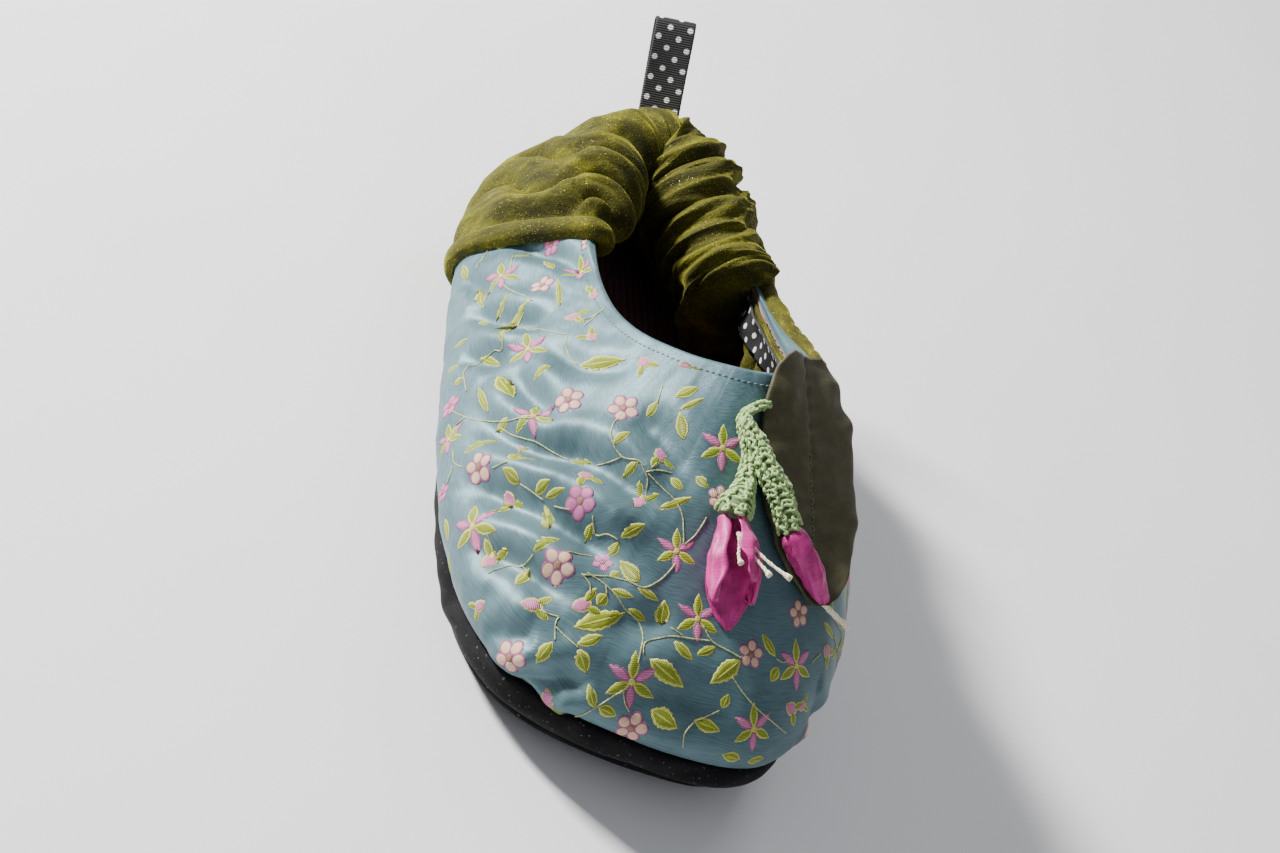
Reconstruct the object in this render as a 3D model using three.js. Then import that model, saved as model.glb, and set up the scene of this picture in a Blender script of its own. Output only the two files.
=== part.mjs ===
// Soft house slipper for the right foot: brocade upper, gathered velvet heel piece, padded sole,
// ribbon pull loop, silk leaf and two fuchsia flowers on crocheted stems.
// X runs from heel to toe, +Y is the inner side of the foot, +Z is up. All sizes are in millimetres.
import * as THREE from 'three';

// Driving sizes of the sole
const shoeLength = 228;
const ballWidth = 106;
const heelWidth = 88;
const outsoleThickness = 2.4;
const soleHeight = 12;
const toeSpring = 8;
const springStart = 0.72;
const outsoleInset = 5;
const footbedThickness = 3;

// Driving sizes of the upper
const wall = 2.2;
const clearance = 0.3;
const instepHeight = 86;
const heelHeight = 61;
const throatReach = 149;
const openingBack = 12;
const openingWidth = 56;
const bulge = 22;

// Driving sizes of the velvet heel piece and of what lines the collar
const seamAtCollar = 72;
const seamAtSole = 58;
const velvetThickness = 1.5;
const collarPuff = 4.6;
const gatherDepth = 1.7;
const gatherCount = 12;
const hemWidth = 7;
const hemRise = 0.9;
const hemStep = 0.15;
const endFade = 0.12;
const endPuff = 0.45;
const facingThickness = 1;
const ribbonThickness = 0.8;

// Driving sizes of the trimmings
const ribbonWidth = 12.6;
const loopLength = 34;
const loopFold = 2.6;
const leafLength = 60;
const leafWidth = 29;
const leafThickness = 1.2;
const stemRadius = 2.6;
const openFlowerLength = 27;
const openFlowerRadius = 14;
const petalThickness = 1.1;
const budLength = 21;
const budRadius = 3.4;
const stamenRadius = 0.8;
const budGap = 0.7;

// Sole outline seen from above, from the heel back along the outer side, round the toe and back
// along the inner side. along is a share of the length, across a share of the width named by part.
const outline = [
  { along: 0, across: -0.04, part: heelWidth },
  { along: 0.03, across: -0.34, part: heelWidth },
  { along: 0.1, across: -0.49, part: heelWidth },
  { along: 0.21, across: -0.54, part: heelWidth },
  { along: 0.34, across: -0.46, part: ballWidth },
  { along: 0.48, across: -0.475, part: ballWidth },
  { along: 0.62, across: -0.495, part: ballWidth },
  { along: 0.75, across: -0.49, part: ballWidth },
  { along: 0.86, across: -0.45, part: ballWidth },
  { along: 0.94, across: -0.365, part: ballWidth },
  { along: 0.98, across: -0.24, part: ballWidth },
  { along: 0.997, across: -0.08, part: ballWidth },
  { along: 1, across: 0.08, part: ballWidth },
  { along: 0.99, across: 0.24, part: ballWidth },
  { along: 0.955, across: 0.365, part: ballWidth },
  { along: 0.89, across: 0.455, part: ballWidth },
  { along: 0.79, across: 0.505, part: ballWidth },
  { along: 0.67, across: 0.505, part: ballWidth },
  { along: 0.54, across: 0.455, part: ballWidth },
  { along: 0.4, across: 0.4, part: ballWidth },
  { along: 0.25, across: 0.45, part: heelWidth },
  { along: 0.1, across: 0.39, part: heelWidth },
  { along: 0.03, across: 0.24, part: heelWidth },
];

// Sections of the upper, one row for each place round the shoe. turn is 0 at the heel back and 0.5 at
// the toe. The collar edge lies at along, a share of the opening's length, and across, a share of
// its width; height goes from 0 at heelHeight to 1 at instepHeight. The wall leaves the sole by
// lean, a share of bulge, and rise, a share of the wall's height, and comes to the collar from
// reach, a share of the way out to the sole, and drop, a share of the wall's height.
const sections = [
  { turn: 0, along: 0, across: -0.06, height: 0, lean: 0.3, rise: 0.3, reach: 0.3, drop: 0.4 },
  { turn: 0.06, along: 0.1, across: -0.36, height: -0.02, lean: 0.45, rise: 0.3, reach: 0.42, drop: 0.34 },
  { turn: 0.12, along: 0.3, across: -0.51, height: -0.06, lean: 0.75, rise: 0.26, reach: 0.55, drop: 0.28 },
  { turn: 0.18, along: 0.52, across: -0.54, height: -0.08, lean: 1, rise: 0.22, reach: 0.58, drop: 0.26 },
  { turn: 0.25, along: 0.7, across: -0.52, height: 0.06, lean: 1.05, rise: 0.22, reach: 0.58, drop: 0.26 },
  { turn: 0.32, along: 0.84, across: -0.44, height: 0.32, lean: 0.95, rise: 0.22, reach: 0.54, drop: 0.3 },
  { turn: 0.39, along: 0.945, across: -0.27, height: 0.66, lean: 0.7, rise: 0.22, reach: 0.48, drop: 0.38 },
  { turn: 0.45, along: 0.99, across: -0.08, height: 0.88, lean: 0.4, rise: 0.22, reach: 0.44, drop: 0.44 },
  { turn: 0.51, along: 1, across: 0.08, height: 0.99, lean: 0.25, rise: 0.22, reach: 0.44, drop: 0.46 },
  { turn: 0.57, along: 0.975, across: 0.22, height: 1, lean: 0.45, rise: 0.24, reach: 0.48, drop: 0.4 },
  { turn: 0.64, along: 0.9, across: 0.35, height: 0.86, lean: 0.9, rise: 0.28, reach: 0.62, drop: 0.28 },
  { turn: 0.71, along: 0.79, across: 0.43, height: 0.56, lean: 1.15, rise: 0.32, reach: 0.72, drop: 0.22 },
  { turn: 0.78, along: 0.64, across: 0.46, height: 0.26, lean: 1.15, rise: 0.32, reach: 0.74, drop: 0.2 },
  { turn: 0.84, along: 0.46, across: 0.43, height: 0.06, lean: 0.9, rise: 0.3, reach: 0.6, drop: 0.26 },
  { turn: 0.9, along: 0.26, across: 0.34, height: -0.02, lean: 0.65, rise: 0.28, reach: 0.45, drop: 0.34 },
  { turn: 0.95, along: 0.09, across: 0.17, height: 0, lean: 0.42, rise: 0.3, reach: 0.36, drop: 0.38 },
];

// Rim sections of the padded sole, from its underside up. inset is in millimetres from the
// outline, height a share of what the padding fills between the outsole and the upper.
const soleRim = [
  { inset: 6.5, height: 0 },
  { inset: 3.2, height: 0.05 },
  { inset: 1, height: 0.24 },
  { inset: 0, height: 0.52 },
  { inset: 0.3, height: 0.82 },
  { inset: 1.4, height: 0.97 },
  { inset: 3.4, height: 1 },
];

// Cover of the velvet heel piece from its lower edge on the outside, over the collar edge and down
// the inside. puff and gather are shares of the full padding and of the full gather depth.
const velvetRows = [
  { along: 0, puff: 0, gather: 0.05 },
  { along: 0.12, puff: 0.03, gather: 0.1 },
  { along: 0.25, puff: 0.12, gather: 0.25 },
  { along: 0.38, puff: 0.45, gather: 0.65 },
  { along: 0.5, puff: 0.92, gather: 1 },
  { along: 0.62, puff: 1, gather: 1 },
  { along: 0.75, puff: 0.92, gather: 1 },
  { along: 0.83, puff: 0.75, gather: 0.9 },
  { along: 0.92, puff: 0.35, gather: 0.5 },
  { along: 1, puff: 0, gather: 0.1 },
];
const velvetInside = 0.42;

// Silk leaf from its stalk to its tip. along is a share of the length, width a share of the full
// width, wave a share of the leaf's thickness by which the edges lift, at most leafWave. Its faces
// are shaped at shares of the half width.
const leafWave = 0.5;
const leafShares = [-1, -0.55, 0, 0.55, 1];
const leafRows = [
  { along: 0, width: 0.34, wave: 0 },
  { along: 0.08, width: 0.56, wave: 0.1 },
  { along: 0.2, width: 0.8, wave: 0.4 },
  { along: 0.34, width: 0.96, wave: 0.1 },
  { along: 0.5, width: 1, wave: 0.5 },
  { along: 0.64, width: 0.94, wave: 0.2 },
  { along: 0.78, width: 0.78, wave: 0.5 },
  { along: 0.89, width: 0.52, wave: 0.2 },
  { along: 0.97, width: 0.24, wave: 0.1 },
  { along: 1, width: 0.07, wave: 0 },
];

// Where the leaf starts on the wall, and its heading: the angle in degrees seen from above, from
// straight ahead toward the inner side.
const leafStart = { turn: 0.613, height: 0.985, heading: 42 };

// Places on the wall that each flower passes, from under the leaf to its tip
const openFlowerPlaces = [
  { turn: 0.512, height: 0.932 },
  { turn: 0.494, height: 0.913 },
  { turn: 0.498, height: 0.857 },
  { turn: 0.505, height: 0.78 },
  { turn: 0.507, height: 0.714 },
  { turn: 0.52, height: 0.54 },
];
const budPlaces = [
  { turn: 0.519, height: 0.852 },
  { turn: 0.53, height: 0.814 },
  { turn: 0.543, height: 0.768 },
  { turn: 0.552, height: 0.71 },
  { turn: 0.565, height: 0.644 },
  { turn: 0.58, height: 0.57 },
  { turn: 0.604, height: 0.48 },
];

// Thickness of the crocheted stems along their length, as shares of the stem's radius
const openStemRows = [
  { along: 0, radius: 0.7 },
  { along: 0.25, radius: 0.9 },
  { along: 0.55, radius: 1.25 },
  { along: 0.8, radius: 1.9 },
  { along: 1, radius: 2.1 },
];
const budStemRows = [
  { along: 0, radius: 0.7 },
  { along: 0.3, radius: 0.95 },
  { along: 0.7, radius: 1.25 },
  { along: 1, radius: 1.15 },
];
const openStemLength = 27;
const budStemLength = 21;

// Profiles of the flowers along their axis, as shares of their length and full radius
const openFlowerRows = [
  { along: 0, radius: 0.36 },
  { along: 0.16, radius: 0.5 },
  { along: 0.4, radius: 0.62 },
  { along: 0.7, radius: 0.82 },
  { along: 1, radius: 1 },
];
const budRows = [
  { along: 0, radius: 0.75 },
  { along: 0.2, radius: 1 },
  { along: 0.55, radius: 0.95 },
  { along: 0.85, radius: 0.62 },
  { along: 1, radius: 0.28 },
];
const budStamenRows = [
  { along: 0, radius: 1 },
  { along: 0.7, radius: 1 },
  { along: 0.85, radius: 1.35 },
  { along: 1, radius: 1.2 },
];
const petalCount = 5;
const petalNotch = 0.42;
const petalFlat = 0.55;
const bellStations = [0, 0.16, 0.34, 0.52, 0.7, 0.86, 1];

// Stamens of the open flower: how far each spreads across and away from the wall, as shares of its
// length, and its length as a share of the longest.
const stamenSpread = [
  { sideways: -0.22, outward: 0.06, length: 0.86 },
  { sideways: 0.24, outward: 0.1, length: 1 },
  { sideways: 0, outward: 0.27, length: 0.74 },
];
const stamenRows = [
  { along: 0, radius: 1 },
  { along: 0.45, radius: 1 },
  { along: 0.85, radius: 1 },
  { along: 0.9, radius: 1.35 },
  { along: 1, radius: 1.35 },
];
const stamenLength = 27;
const stamenRoot = 8;
const budStamenLength = 12;

// How the pull loop leans: back, outward and up
const loopLean = [-0.55, -0.2, 0.81];

// Hairpin of the pull loop, from its front end over the fold to its back end. along is a share of
// the straight part, past and back are shares of the fold's radius.
const loopRows = [
  { along: 0, past: 0, back: 0 },
  { along: 0.5, past: 0, back: 0.2 },
  { along: 1, past: 0, back: 0 },
  { along: 1, past: 1, back: 1 },
  { along: 1, past: 0, back: 2 },
  { along: 0.5, past: 0, back: 1.3 },
  { along: 0, past: 0, back: 0.43 },
];

// Forward end, as a turn, and lowest height on the wall of what lines the inner side of the collar,
// and the gap between it and the heel piece's end.
const facingRange = { to: 0.74, low: 0.45 };
const ribbonRange = { to: 0.63, low: 0.86 };
const endGap = 1;

// Angles round the rounded collar edge, 0 outside and 180 inside, at which the wall and the velvet
// over it are shaped
const collarAngles = [45, 90, 135];
const overStations = [20, 70, 120, 165];

// Fineness of the faceted surfaces
const turnSteps = 72;
const heightSteps = 9;
const velvetSteps = 50;
const tubeSides = 10;
const petalSides = 6;
const bandSteps = 20;
const stripSteps = 16;
const stripRows = 4;
const leafSteps = 20;
const roundSteps = 10;
const trackSteps = 60;
const edgeDivisions = 800;
const halvings = 30;

const halfLength = shoeLength / 2;
const wallHeights = Array.from({ length: heightSteps + 1 }, (_, index) => index / heightSteps);
const degrees = Math.PI / 180;
const smallStep = 1e-4;
const stride = 2;

const brocade = { color: 0x7fa3ae, roughness: 0.45, metalness: 0.05 };
const velvet = { color: 0x6d701c, roughness: 0.9, metalness: 0 };
const blackVelvet = { color: 0x0e0e10, roughness: 0.95, metalness: 0 };
const suede = { color: 0x19171a, roughness: 0.95, metalness: 0 };
const lining = { color: 0x2c1018, roughness: 0.8, metalness: 0 };
const grosgrain = { color: 0x121214, roughness: 0.7, metalness: 0 };
const silk = { color: 0x34371f, roughness: 0.6, metalness: 0 };
const crochet = { color: 0x7d9a5c, roughness: 0.85, metalness: 0 };
const fuchsia = { color: 0xc42e8e, roughness: 0.55, metalness: 0 };
const cream = { color: 0xe9e3b4, roughness: 0.6, metalness: 0 };

// Smooth closed curve through one column of a table, read at any turn
function around(rows, column) {
  const count = rows.length;
  const row = (index) => rows[((index % count) + count) % count];
  const key = (index) => row(index).turn + Math.floor(index / count);
  const slope = (index) =>
    (row(index + 1)[column] - row(index - 1)[column]) / (key(index + 1) - key(index - 1));
  return (turn) => {
    const place = turn - Math.floor(turn);
    const found = rows.findIndex((each) => each.turn > place);
    const after = found < 0 ? count : found;
    const before = after - 1;
    const span = key(after) - key(before);
    const u = (place - key(before)) / span;
    const start = row(before)[column];
    const end = row(after)[column];
    const bend = 3 * (end - start) - span * (2 * slope(before) + slope(after));
    const twist = 2 * (start - end) + span * (slope(before) + slope(after));
    return start + u * (span * slope(before) + u * (bend + u * twist));
  };
}

// Smooth open curve through one column of a table that has an along column
function through(rows, column) {
  const curve = new THREE.SplineCurve(rows.map((row) => new THREE.Vector2(row.along, row[column])));
  const last = rows.length - 1;
  return (along) => {
    const found = rows.findIndex((row) => row.along >= along);
    const after = Math.max(1, found < 0 ? last : found);
    const span = rows[after].along - rows[after - 1].along;
    const share = (along - rows[after - 1].along) / span;
    return curve.getPoint((after - 1 + share) / last).y;
  };
}

// Closed curve of the sole's edge seen from above
const edgeCurve = new THREE.CatmullRomCurve3(
  outline.map((row) => {
    return new THREE.Vector3(row.along * shoeLength - halfLength, row.across * row.part, 0);
  }),
  true,
  'centripetal',
);
edgeCurve.arcLengthDivisions = edgeDivisions;

// Height by which the underside lifts off the floor toward the toe
function lift(x) {
  const start = springStart * shoeLength - halfLength;
  const share = Math.max(0, (x - start) / (halfLength - start));
  return toeSpring * share * share;
}

// Point of the sole's edge, moved inward by inset, on the floor plane
function edgePoint(turn, inset) {
  const point = edgeCurve.getPointAt(turn - Math.floor(turn));
  return point.addScaledVector(edgeNormal(turn), -inset);
}

function edgeNormal(turn) {
  const tangent = edgeCurve.getTangentAt(turn - Math.floor(turn));
  return new THREE.Vector3(tangent.y, -tangent.x, 0);
}

const column = {
  along: around(sections, 'along'),
  across: around(sections, 'across'),
  height: around(sections, 'height'),
  lean: around(sections, 'lean'),
  rise: around(sections, 'rise'),
  reach: around(sections, 'reach'),
  drop: around(sections, 'drop'),
};
const seamInset = 1;
const seamLimit = 0.4;

// Outer face of the upper, from the sole at height 0 to the collar edge at height 1
function surface(turn, height) {
  const foot = edgePoint(turn, seamInset);
  foot.z = soleHeight + clearance + lift(foot.x);
  const collar = new THREE.Vector3(
    openingBack - halfLength + column.along(turn) * (throatReach - openingBack),
    column.across(turn) * openingWidth,
    heelHeight + column.height(turn) * (instepHeight - heelHeight),
  );
  const climb = collar.z - foot.z;
  const low = foot.clone().addScaledVector(edgeNormal(turn), column.lean(turn) * bulge);
  low.z += column.rise(turn) * climb;
  const high = collar.clone().lerp(foot, column.reach(turn));
  high.z = collar.z - column.drop(turn) * climb;
  const rest = 1 - height;
  return foot
    .multiplyScalar(rest ** 3)
    .addScaledVector(low, 3 * rest * rest * height)
    .addScaledVector(high, 3 * rest * height * height)
    .addScaledVector(collar, height ** 3);
}

// Local frame of the upper's outer face: rates along turn and height, and the outward normal
function frameAt(turn, height) {
  const here = surface(turn, height);
  const alongTurn = surface(turn + smallStep, height).sub(here).divideScalar(smallStep);
  const alongHeight = surface(turn, height + smallStep).sub(here).divideScalar(smallStep);
  const normal = alongTurn.clone().cross(alongHeight).normalize();
  return { here, alongTurn, alongHeight, normal };
}

// Point that stands proud of the upper's outer face, or inside it where proud is negative
function laid(turn, height, proud) {
  const { here, normal } = frameAt(turn, height);
  return here.addScaledVector(normal, proud);
}

// Point at a distance round the rounded collar edge, over is 0 on the outside and 180 inside
function roundCollar(turn, over, distance) {
  const { here, alongHeight, normal } = frameAt(turn, 1);
  const angle = over * degrees;
  return here
    .addScaledVector(normal, -wall / 2 + distance * Math.cos(angle))
    .addScaledVector(alongHeight.normalize(), distance * Math.sin(angle));
}

// Walk over the upper from a place on it, in a heading, for a length of wall
function walk(start, ahead, distance) {
  const steps = Math.max(1, Math.ceil(distance / stride));
  const step = distance / steps;
  const heading = ahead.clone();
  let { turn, height } = start;
  for (let count = 0; count < steps; count += 1) {
    const { alongTurn, alongHeight, normal } = frameAt(turn, height);
    heading.projectOnPlane(normal).normalize();
    const square = alongTurn.lengthSq();
    const rise = alongHeight.lengthSq();
    const mixed = alongTurn.dot(alongHeight);
    const spread = square * rise - mixed * mixed;
    const onTurn = heading.dot(alongTurn);
    const onHeight = heading.dot(alongHeight);
    turn += (step * (onTurn * rise - onHeight * mixed)) / spread;
    height += (step * (onHeight * square - onTurn * mixed)) / spread;
  }
  return { turn, height, heading };
}

// Closed solid through loops of points. Every loop has the same even count, and its first and last
// points lie side by side, so that an end is closed by a ladder across the loop.
function loft(loops, endless = false) {
  const count = loops[0].length;
  const positions = loops.flat().flatMap((point) => [point.x, point.y, point.z]);
  const faces = [];
  const rows = endless ? loops.length : loops.length - 1;
  for (let row = 0; row < rows; row += 1) {
    const next = (row + 1) % loops.length;
    for (let index = 0; index < count; index += 1) {
      const beside = (index + 1) % count;
      const a = row * count + index;
      const b = row * count + beside;
      const c = next * count + beside;
      const d = next * count + index;
      faces.push(a, b, c, a, c, d);
    }
  }
  if (!endless) {
    const top = (loops.length - 1) * count;
    for (let index = 0; index < count / 2 - 1; index += 1) {
      const [a, b, c, d] = [index, index + 1, count - 2 - index, count - 1 - index];
      faces.push(a, c, b, a, d, c, top + a, top + b, top + c, top + a, top + c, top + d);
    }
  }
  const geometry = new THREE.BufferGeometry();
  geometry.setAttribute('position', new THREE.Float32BufferAttribute(positions, 3));
  geometry.setIndex(faces);
  geometry.computeVertexNormals();
  return geometry;
}

function piece(name, geometry, finish) {
  const mesh = new THREE.Mesh(geometry, new THREE.MeshStandardMaterial(finish));
  mesh.name = name;
  return mesh;
}

// Loop round the shoe in equal steps of turn, half a step off the heel back
function loopRound(pointAt) {
  return Array.from({ length: turnSteps }, (_, index) => pointAt((index + 0.5) / turnSteps));
}

function levelLoop(inset, height) {
  return loopRound((turn) => {
    const point = edgePoint(turn, inset);
    point.z = height + lift(point.x);
    return point;
  });
}

function makeOutsole() {
  const bevel = outsoleThickness / 4;
  return loft([
    levelLoop(outsoleInset + bevel, 0),
    levelLoop(outsoleInset, bevel),
    levelLoop(outsoleInset, outsoleThickness),
  ]);
}

function makePaddedSole() {
  const bottom = outsoleThickness + clearance;
  return loft(soleRim.map((row) => levelLoop(row.inset, bottom + row.height * (soleHeight - bottom))));
}

function makeFootbed() {
  const inset = seamInset + wall + clearance;
  const bottom = soleHeight + clearance;
  return loft([levelLoop(inset, bottom), levelLoop(inset, bottom + footbedThickness)]);
}

function makeUpper() {
  const outside = wallHeights.map((height) => loopRound((turn) => surface(turn, height)));
  const edge = collarAngles.map((over) => loopRound((turn) => roundCollar(turn, over, wall / 2)));
  const inside = wallHeights.toReversed().map((height) =>
    loopRound((turn) => {
      const point = laid(turn, height, -wall);
      if (height === 0) {
        const foot = edgePoint(turn, seamInset + wall);
        point.set(foot.x, foot.y, surface(turn, 0).z);
      }
      return point;
    }),
  );
  return loft([...outside, ...edge, ...inside], true);
}

// Turn at which a side of the upper reaches a distance from the heel back at the sole
function turnAt(setback, from, to) {
  let near = from;
  let far = to;
  for (let count = 0; count < halvings; count += 1) {
    const middle = (near + far) / 2;
    if (edgePoint(middle, 0).x + halfLength < setback) near = middle;
    else far = middle;
  }
  return near;
}

// Turns at which the heel piece ends on the outer and inner side, at a height on the wall
function seamTurns(height) {
  const setback = seamAtSole + (seamAtCollar - seamAtSole) * height;
  return {
    outer: turnAt(setback, 0, seamLimit),
    inner: turnAt(setback, 1, 1 - seamLimit) - 1,
  };
}
const wallSeams = new Map(wallHeights.map((height) => [height, seamTurns(height)]));
const collarSeams = wallSeams.get(1);

// Places on the outside and inside of the wall, and round the collar edge, that the heel piece covers
const outerStations = wallHeights.slice(1, -1);
const innerStations = outerStations.filter((height) => height >= velvetInside).reverse();
const stationCount = outerStations.length + overStations.length + innerStations.length;
const hemShare = hemWidth / (edgeCurve.getLength() * (collarSeams.outer - collarSeams.inner));
const puffShare = through(velvetRows, 'puff');
const gatherShare = through(velvetRows, 'gather');

// Thickness of the heel piece: cloth, padding and gathers, with a flat hem at both ends
function velvetCover(share, station) {
  const along = station / (stationCount - 1);
  const fromEnd = Math.min(share, 1 - share);
  const full = Math.min(1, fromEnd / endFade);
  const fold = Math.cos(2 * Math.PI * gatherCount * share);
  const padding = collarPuff * puffShare(along) * (endPuff + (1 - endPuff) * full);
  const raised = fromEnd <= hemShare ? hemRise : 0;
  return velvetThickness + raised + padding + gatherDepth * gatherShare(along) * full * fold;
}

// Point over the wall at a station of the heel piece, proud of the gap to the wall
function velvetPoint(share, station, proud) {
  const turnOn = (seams) => seams.inner + share * (seams.outer - seams.inner);
  const passed = station - outerStations.length;
  if (passed >= 0 && passed < overStations.length) {
    return roundCollar(turnOn(collarSeams), overStations[passed], wall / 2 + clearance + proud);
  }
  const height = passed < 0 ? outerStations[station] : innerStations[passed - overStations.length];
  const out = passed < 0 ? clearance + proud : -wall - clearance - proud;
  return laid(turnOn(wallSeams.get(height)), height, out);
}

function makeHeelPiece() {
  const step = hemShare * hemStep;
  const shares = [0, hemShare, hemShare + step];
  for (let index = 1; index < velvetSteps; index += 1) {
    const share = index / velvetSteps;
    if (Math.min(share, 1 - share) > hemShare + 2 * step) shares.push(share);
  }
  shares.push(1 - hemShare - step, 1 - hemShare, 1);
  const sectionAt = (share) => {
    const under = [];
    const above = [];
    for (let station = 0; station < stationCount; station += 1) {
      under.push(velvetPoint(share, station, 0));
      above.unshift(velvetPoint(share, station, velvetCover(share, station)));
    }
    return [...under, ...above];
  };
  return loft(shares.map(sectionAt));
}

// Strip against the inside of the collar, from the heel piece's end forward
function makeInsideStrip({ to, low }, depth, thickness) {
  const from = collarSeams.inner + 1 - endGap / edgeCurve.getLength();
  const climb = (1 - low) / stripRows;
  const heights = Array.from({ length: stripRows + 1 }, (_, index) => low + climb * index);
  const sectionAt = (_, index) => {
    const turn = from + ((to - from) * index) / stripSteps;
    const near = heights.map((height) => laid(turn, height, -wall - depth));
    const far = heights.map((height) => laid(turn, height, -wall - depth - thickness));
    return [...near, ...far.reverse()];
  };
  return loft(Array.from({ length: stripSteps + 1 }, sectionAt));
}

// Flat band of even width and thickness along a path, side is the direction of its width
function makeBand(path, side, width, thickness) {
  const loops = path.map((middle, index) => {
    const ahead = path[Math.min(index + 1, path.length - 1)].clone().sub(path[Math.max(index - 1, 0)]);
    const facing = side.clone().cross(ahead).normalize();
    const corner = (across, out) => {
      const beside = middle.clone().addScaledVector(side, (across * width) / 2);
      return beside.addScaledVector(facing, (out * thickness) / 2);
    };
    return [corner(-1, 1), corner(0, 1), corner(1, 1), corner(1, -1), corner(0, -1), corner(-1, -1)];
  });
  return loft(loops);
}

// Hairpin of ribbon that stands on the back of the heel piece and leans back
function makePullLoop() {
  const backShare = -collarSeams.inner / (collarSeams.outer - collarSeams.inner);
  const seat = outerStations.length - 1;
  const { normal } = frameAt(0, outerStations[seat]);
  const lean = new THREE.Vector3(...loopLean).normalize();
  const side = normal.clone().cross(lean).normalize();
  const back = lean.clone().cross(side).normalize();
  const proud = velvetCover(backShare, seat) + clearance + ribbonThickness / 2;
  const foot = velvetPoint(backShare, seat, proud);
  const straight = loopLength - loopFold;
  const profile = new THREE.SplineCurve(
    loopRows.map(({ along, past, back: behind }) => {
      return new THREE.Vector2(straight * along + loopFold * past, loopFold * behind);
    }),
  );
  const path = profile
    .getPoints(bandSteps)
    .map((point) => foot.clone().addScaledVector(lean, point.x).addScaledVector(back, point.y));
  return makeBand(path, side, ribbonWidth, ribbonThickness);
}

// Direction on the wall that points ahead, turned toward the inner side by an angle seen from above
function headingFrom(angle) {
  return new THREE.Vector3(Math.cos(angle * degrees), Math.sin(angle * degrees), 0);
}

// Leaf laid over the upper, its two faces one thickness apart
function makeLeaf() {
  const width = through(leafRows, 'width');
  const wave = through(leafRows, 'wave');
  const loops = Array.from({ length: leafSteps + 1 }, (_, index) => {
    const along = index / leafSteps;
    const spine = walk(leafStart, headingFrom(leafStart.heading), leafLength * along + smallStep);
    const { normal } = frameAt(spine.turn, spine.height);
    const sideways = normal.clone().cross(spine.heading).normalize();
    const places = leafShares.map((share) => {
      const half = (leafWidth / 2) * width(along);
      const turned = sideways.clone().multiplyScalar(Math.sign(share) || 1);
      const edge = walk(spine, turned, Math.abs(share) * half + smallStep);
      const waved = leafThickness * Math.min(leafWave, wave(along)) * share * share;
      return { edge, rise: clearance + waved };
    });
    const under = places.map(({ edge, rise }) => laid(edge.turn, edge.height, rise));
    const above = places.map(({ edge, rise }) => laid(edge.turn, edge.height, rise + leafThickness));
    return [...under, ...above.reverse()];
  });
  return loft(loops);
}

// Ring of points round an axis, wide across the wall and flat against it where flat is under 1
function ring(middle, ahead, normal, radius, flat = 1) {
  const side = normal.clone().cross(ahead).normalize();
  const out = ahead.clone().cross(side).normalize();
  return Array.from({ length: tubeSides }, (_, index) => {
    const angle = (2 * Math.PI * (index + 0.5)) / tubeSides;
    return middle
      .clone()
      .addScaledVector(out, -radius * flat * Math.cos(angle))
      .addScaledVector(side, radius * Math.sin(angle));
  });
}

// Track over the wall through a list of places, with the length walked at each of its spots
function trackOver(places) {
  const passed = places.map(({ turn, height }) => new THREE.Vector2(turn, height));
  const route = new THREE.SplineCurve(passed);
  const spots = route.getPoints(trackSteps).map(({ x, y }) => ({ turn: x, height: y, passed: 0 }));
  for (let index = 1; index < spots.length; index += 1) {
    const before = spots[index - 1];
    const here = spots[index];
    const step = surface(here.turn, here.height).distanceTo(surface(before.turn, before.height));
    here.passed = before.passed + step;
  }
  return spots;
}

// Place on a track at a length from its start
function spotAt(track, distance) {
  const found = track.findIndex((spot) => spot.passed >= distance);
  const after = found < 1 ? (found === 0 ? 1 : track.length - 1) : found;
  const [near, far] = [track[after - 1], track[after]];
  const share = (distance - near.passed) / (far.passed - near.passed);
  return {
    turn: near.turn + share * (far.turn - near.turn),
    height: near.height + share * (far.height - near.height),
  };
}

// Round piece that lies along a track, lifted off the wall. The rows give its thickness as shares of
// a full radius.
function layRound(track, from, length, rows, fullRadius, lifted) {
  const radius = through(rows, 'radius');
  const places = Array.from({ length: roundSteps + 1 }, (_, index) => {
    const along = index / roundSteps;
    const spot = spotAt(track, from + along * length);
    const thick = fullRadius * radius(along);
    const { normal } = frameAt(spot.turn, spot.height);
    return { middle: laid(spot.turn, spot.height, lifted + thick), normal, thick };
  });
  const aheadAt = (index) => {
    const ahead = places[Math.min(index + 1, roundSteps)].middle.clone();
    return ahead.sub(places[Math.max(index - 1, 0)].middle).normalize();
  };
  const loops = places.map(({ middle, normal, thick }, index) => {
    return ring(middle, aheadAt(index), normal, thick);
  });
  const end = { ...places[roundSteps], ahead: aheadAt(roundSteps) };
  return { geometry: loft(loops), end };
}

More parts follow.
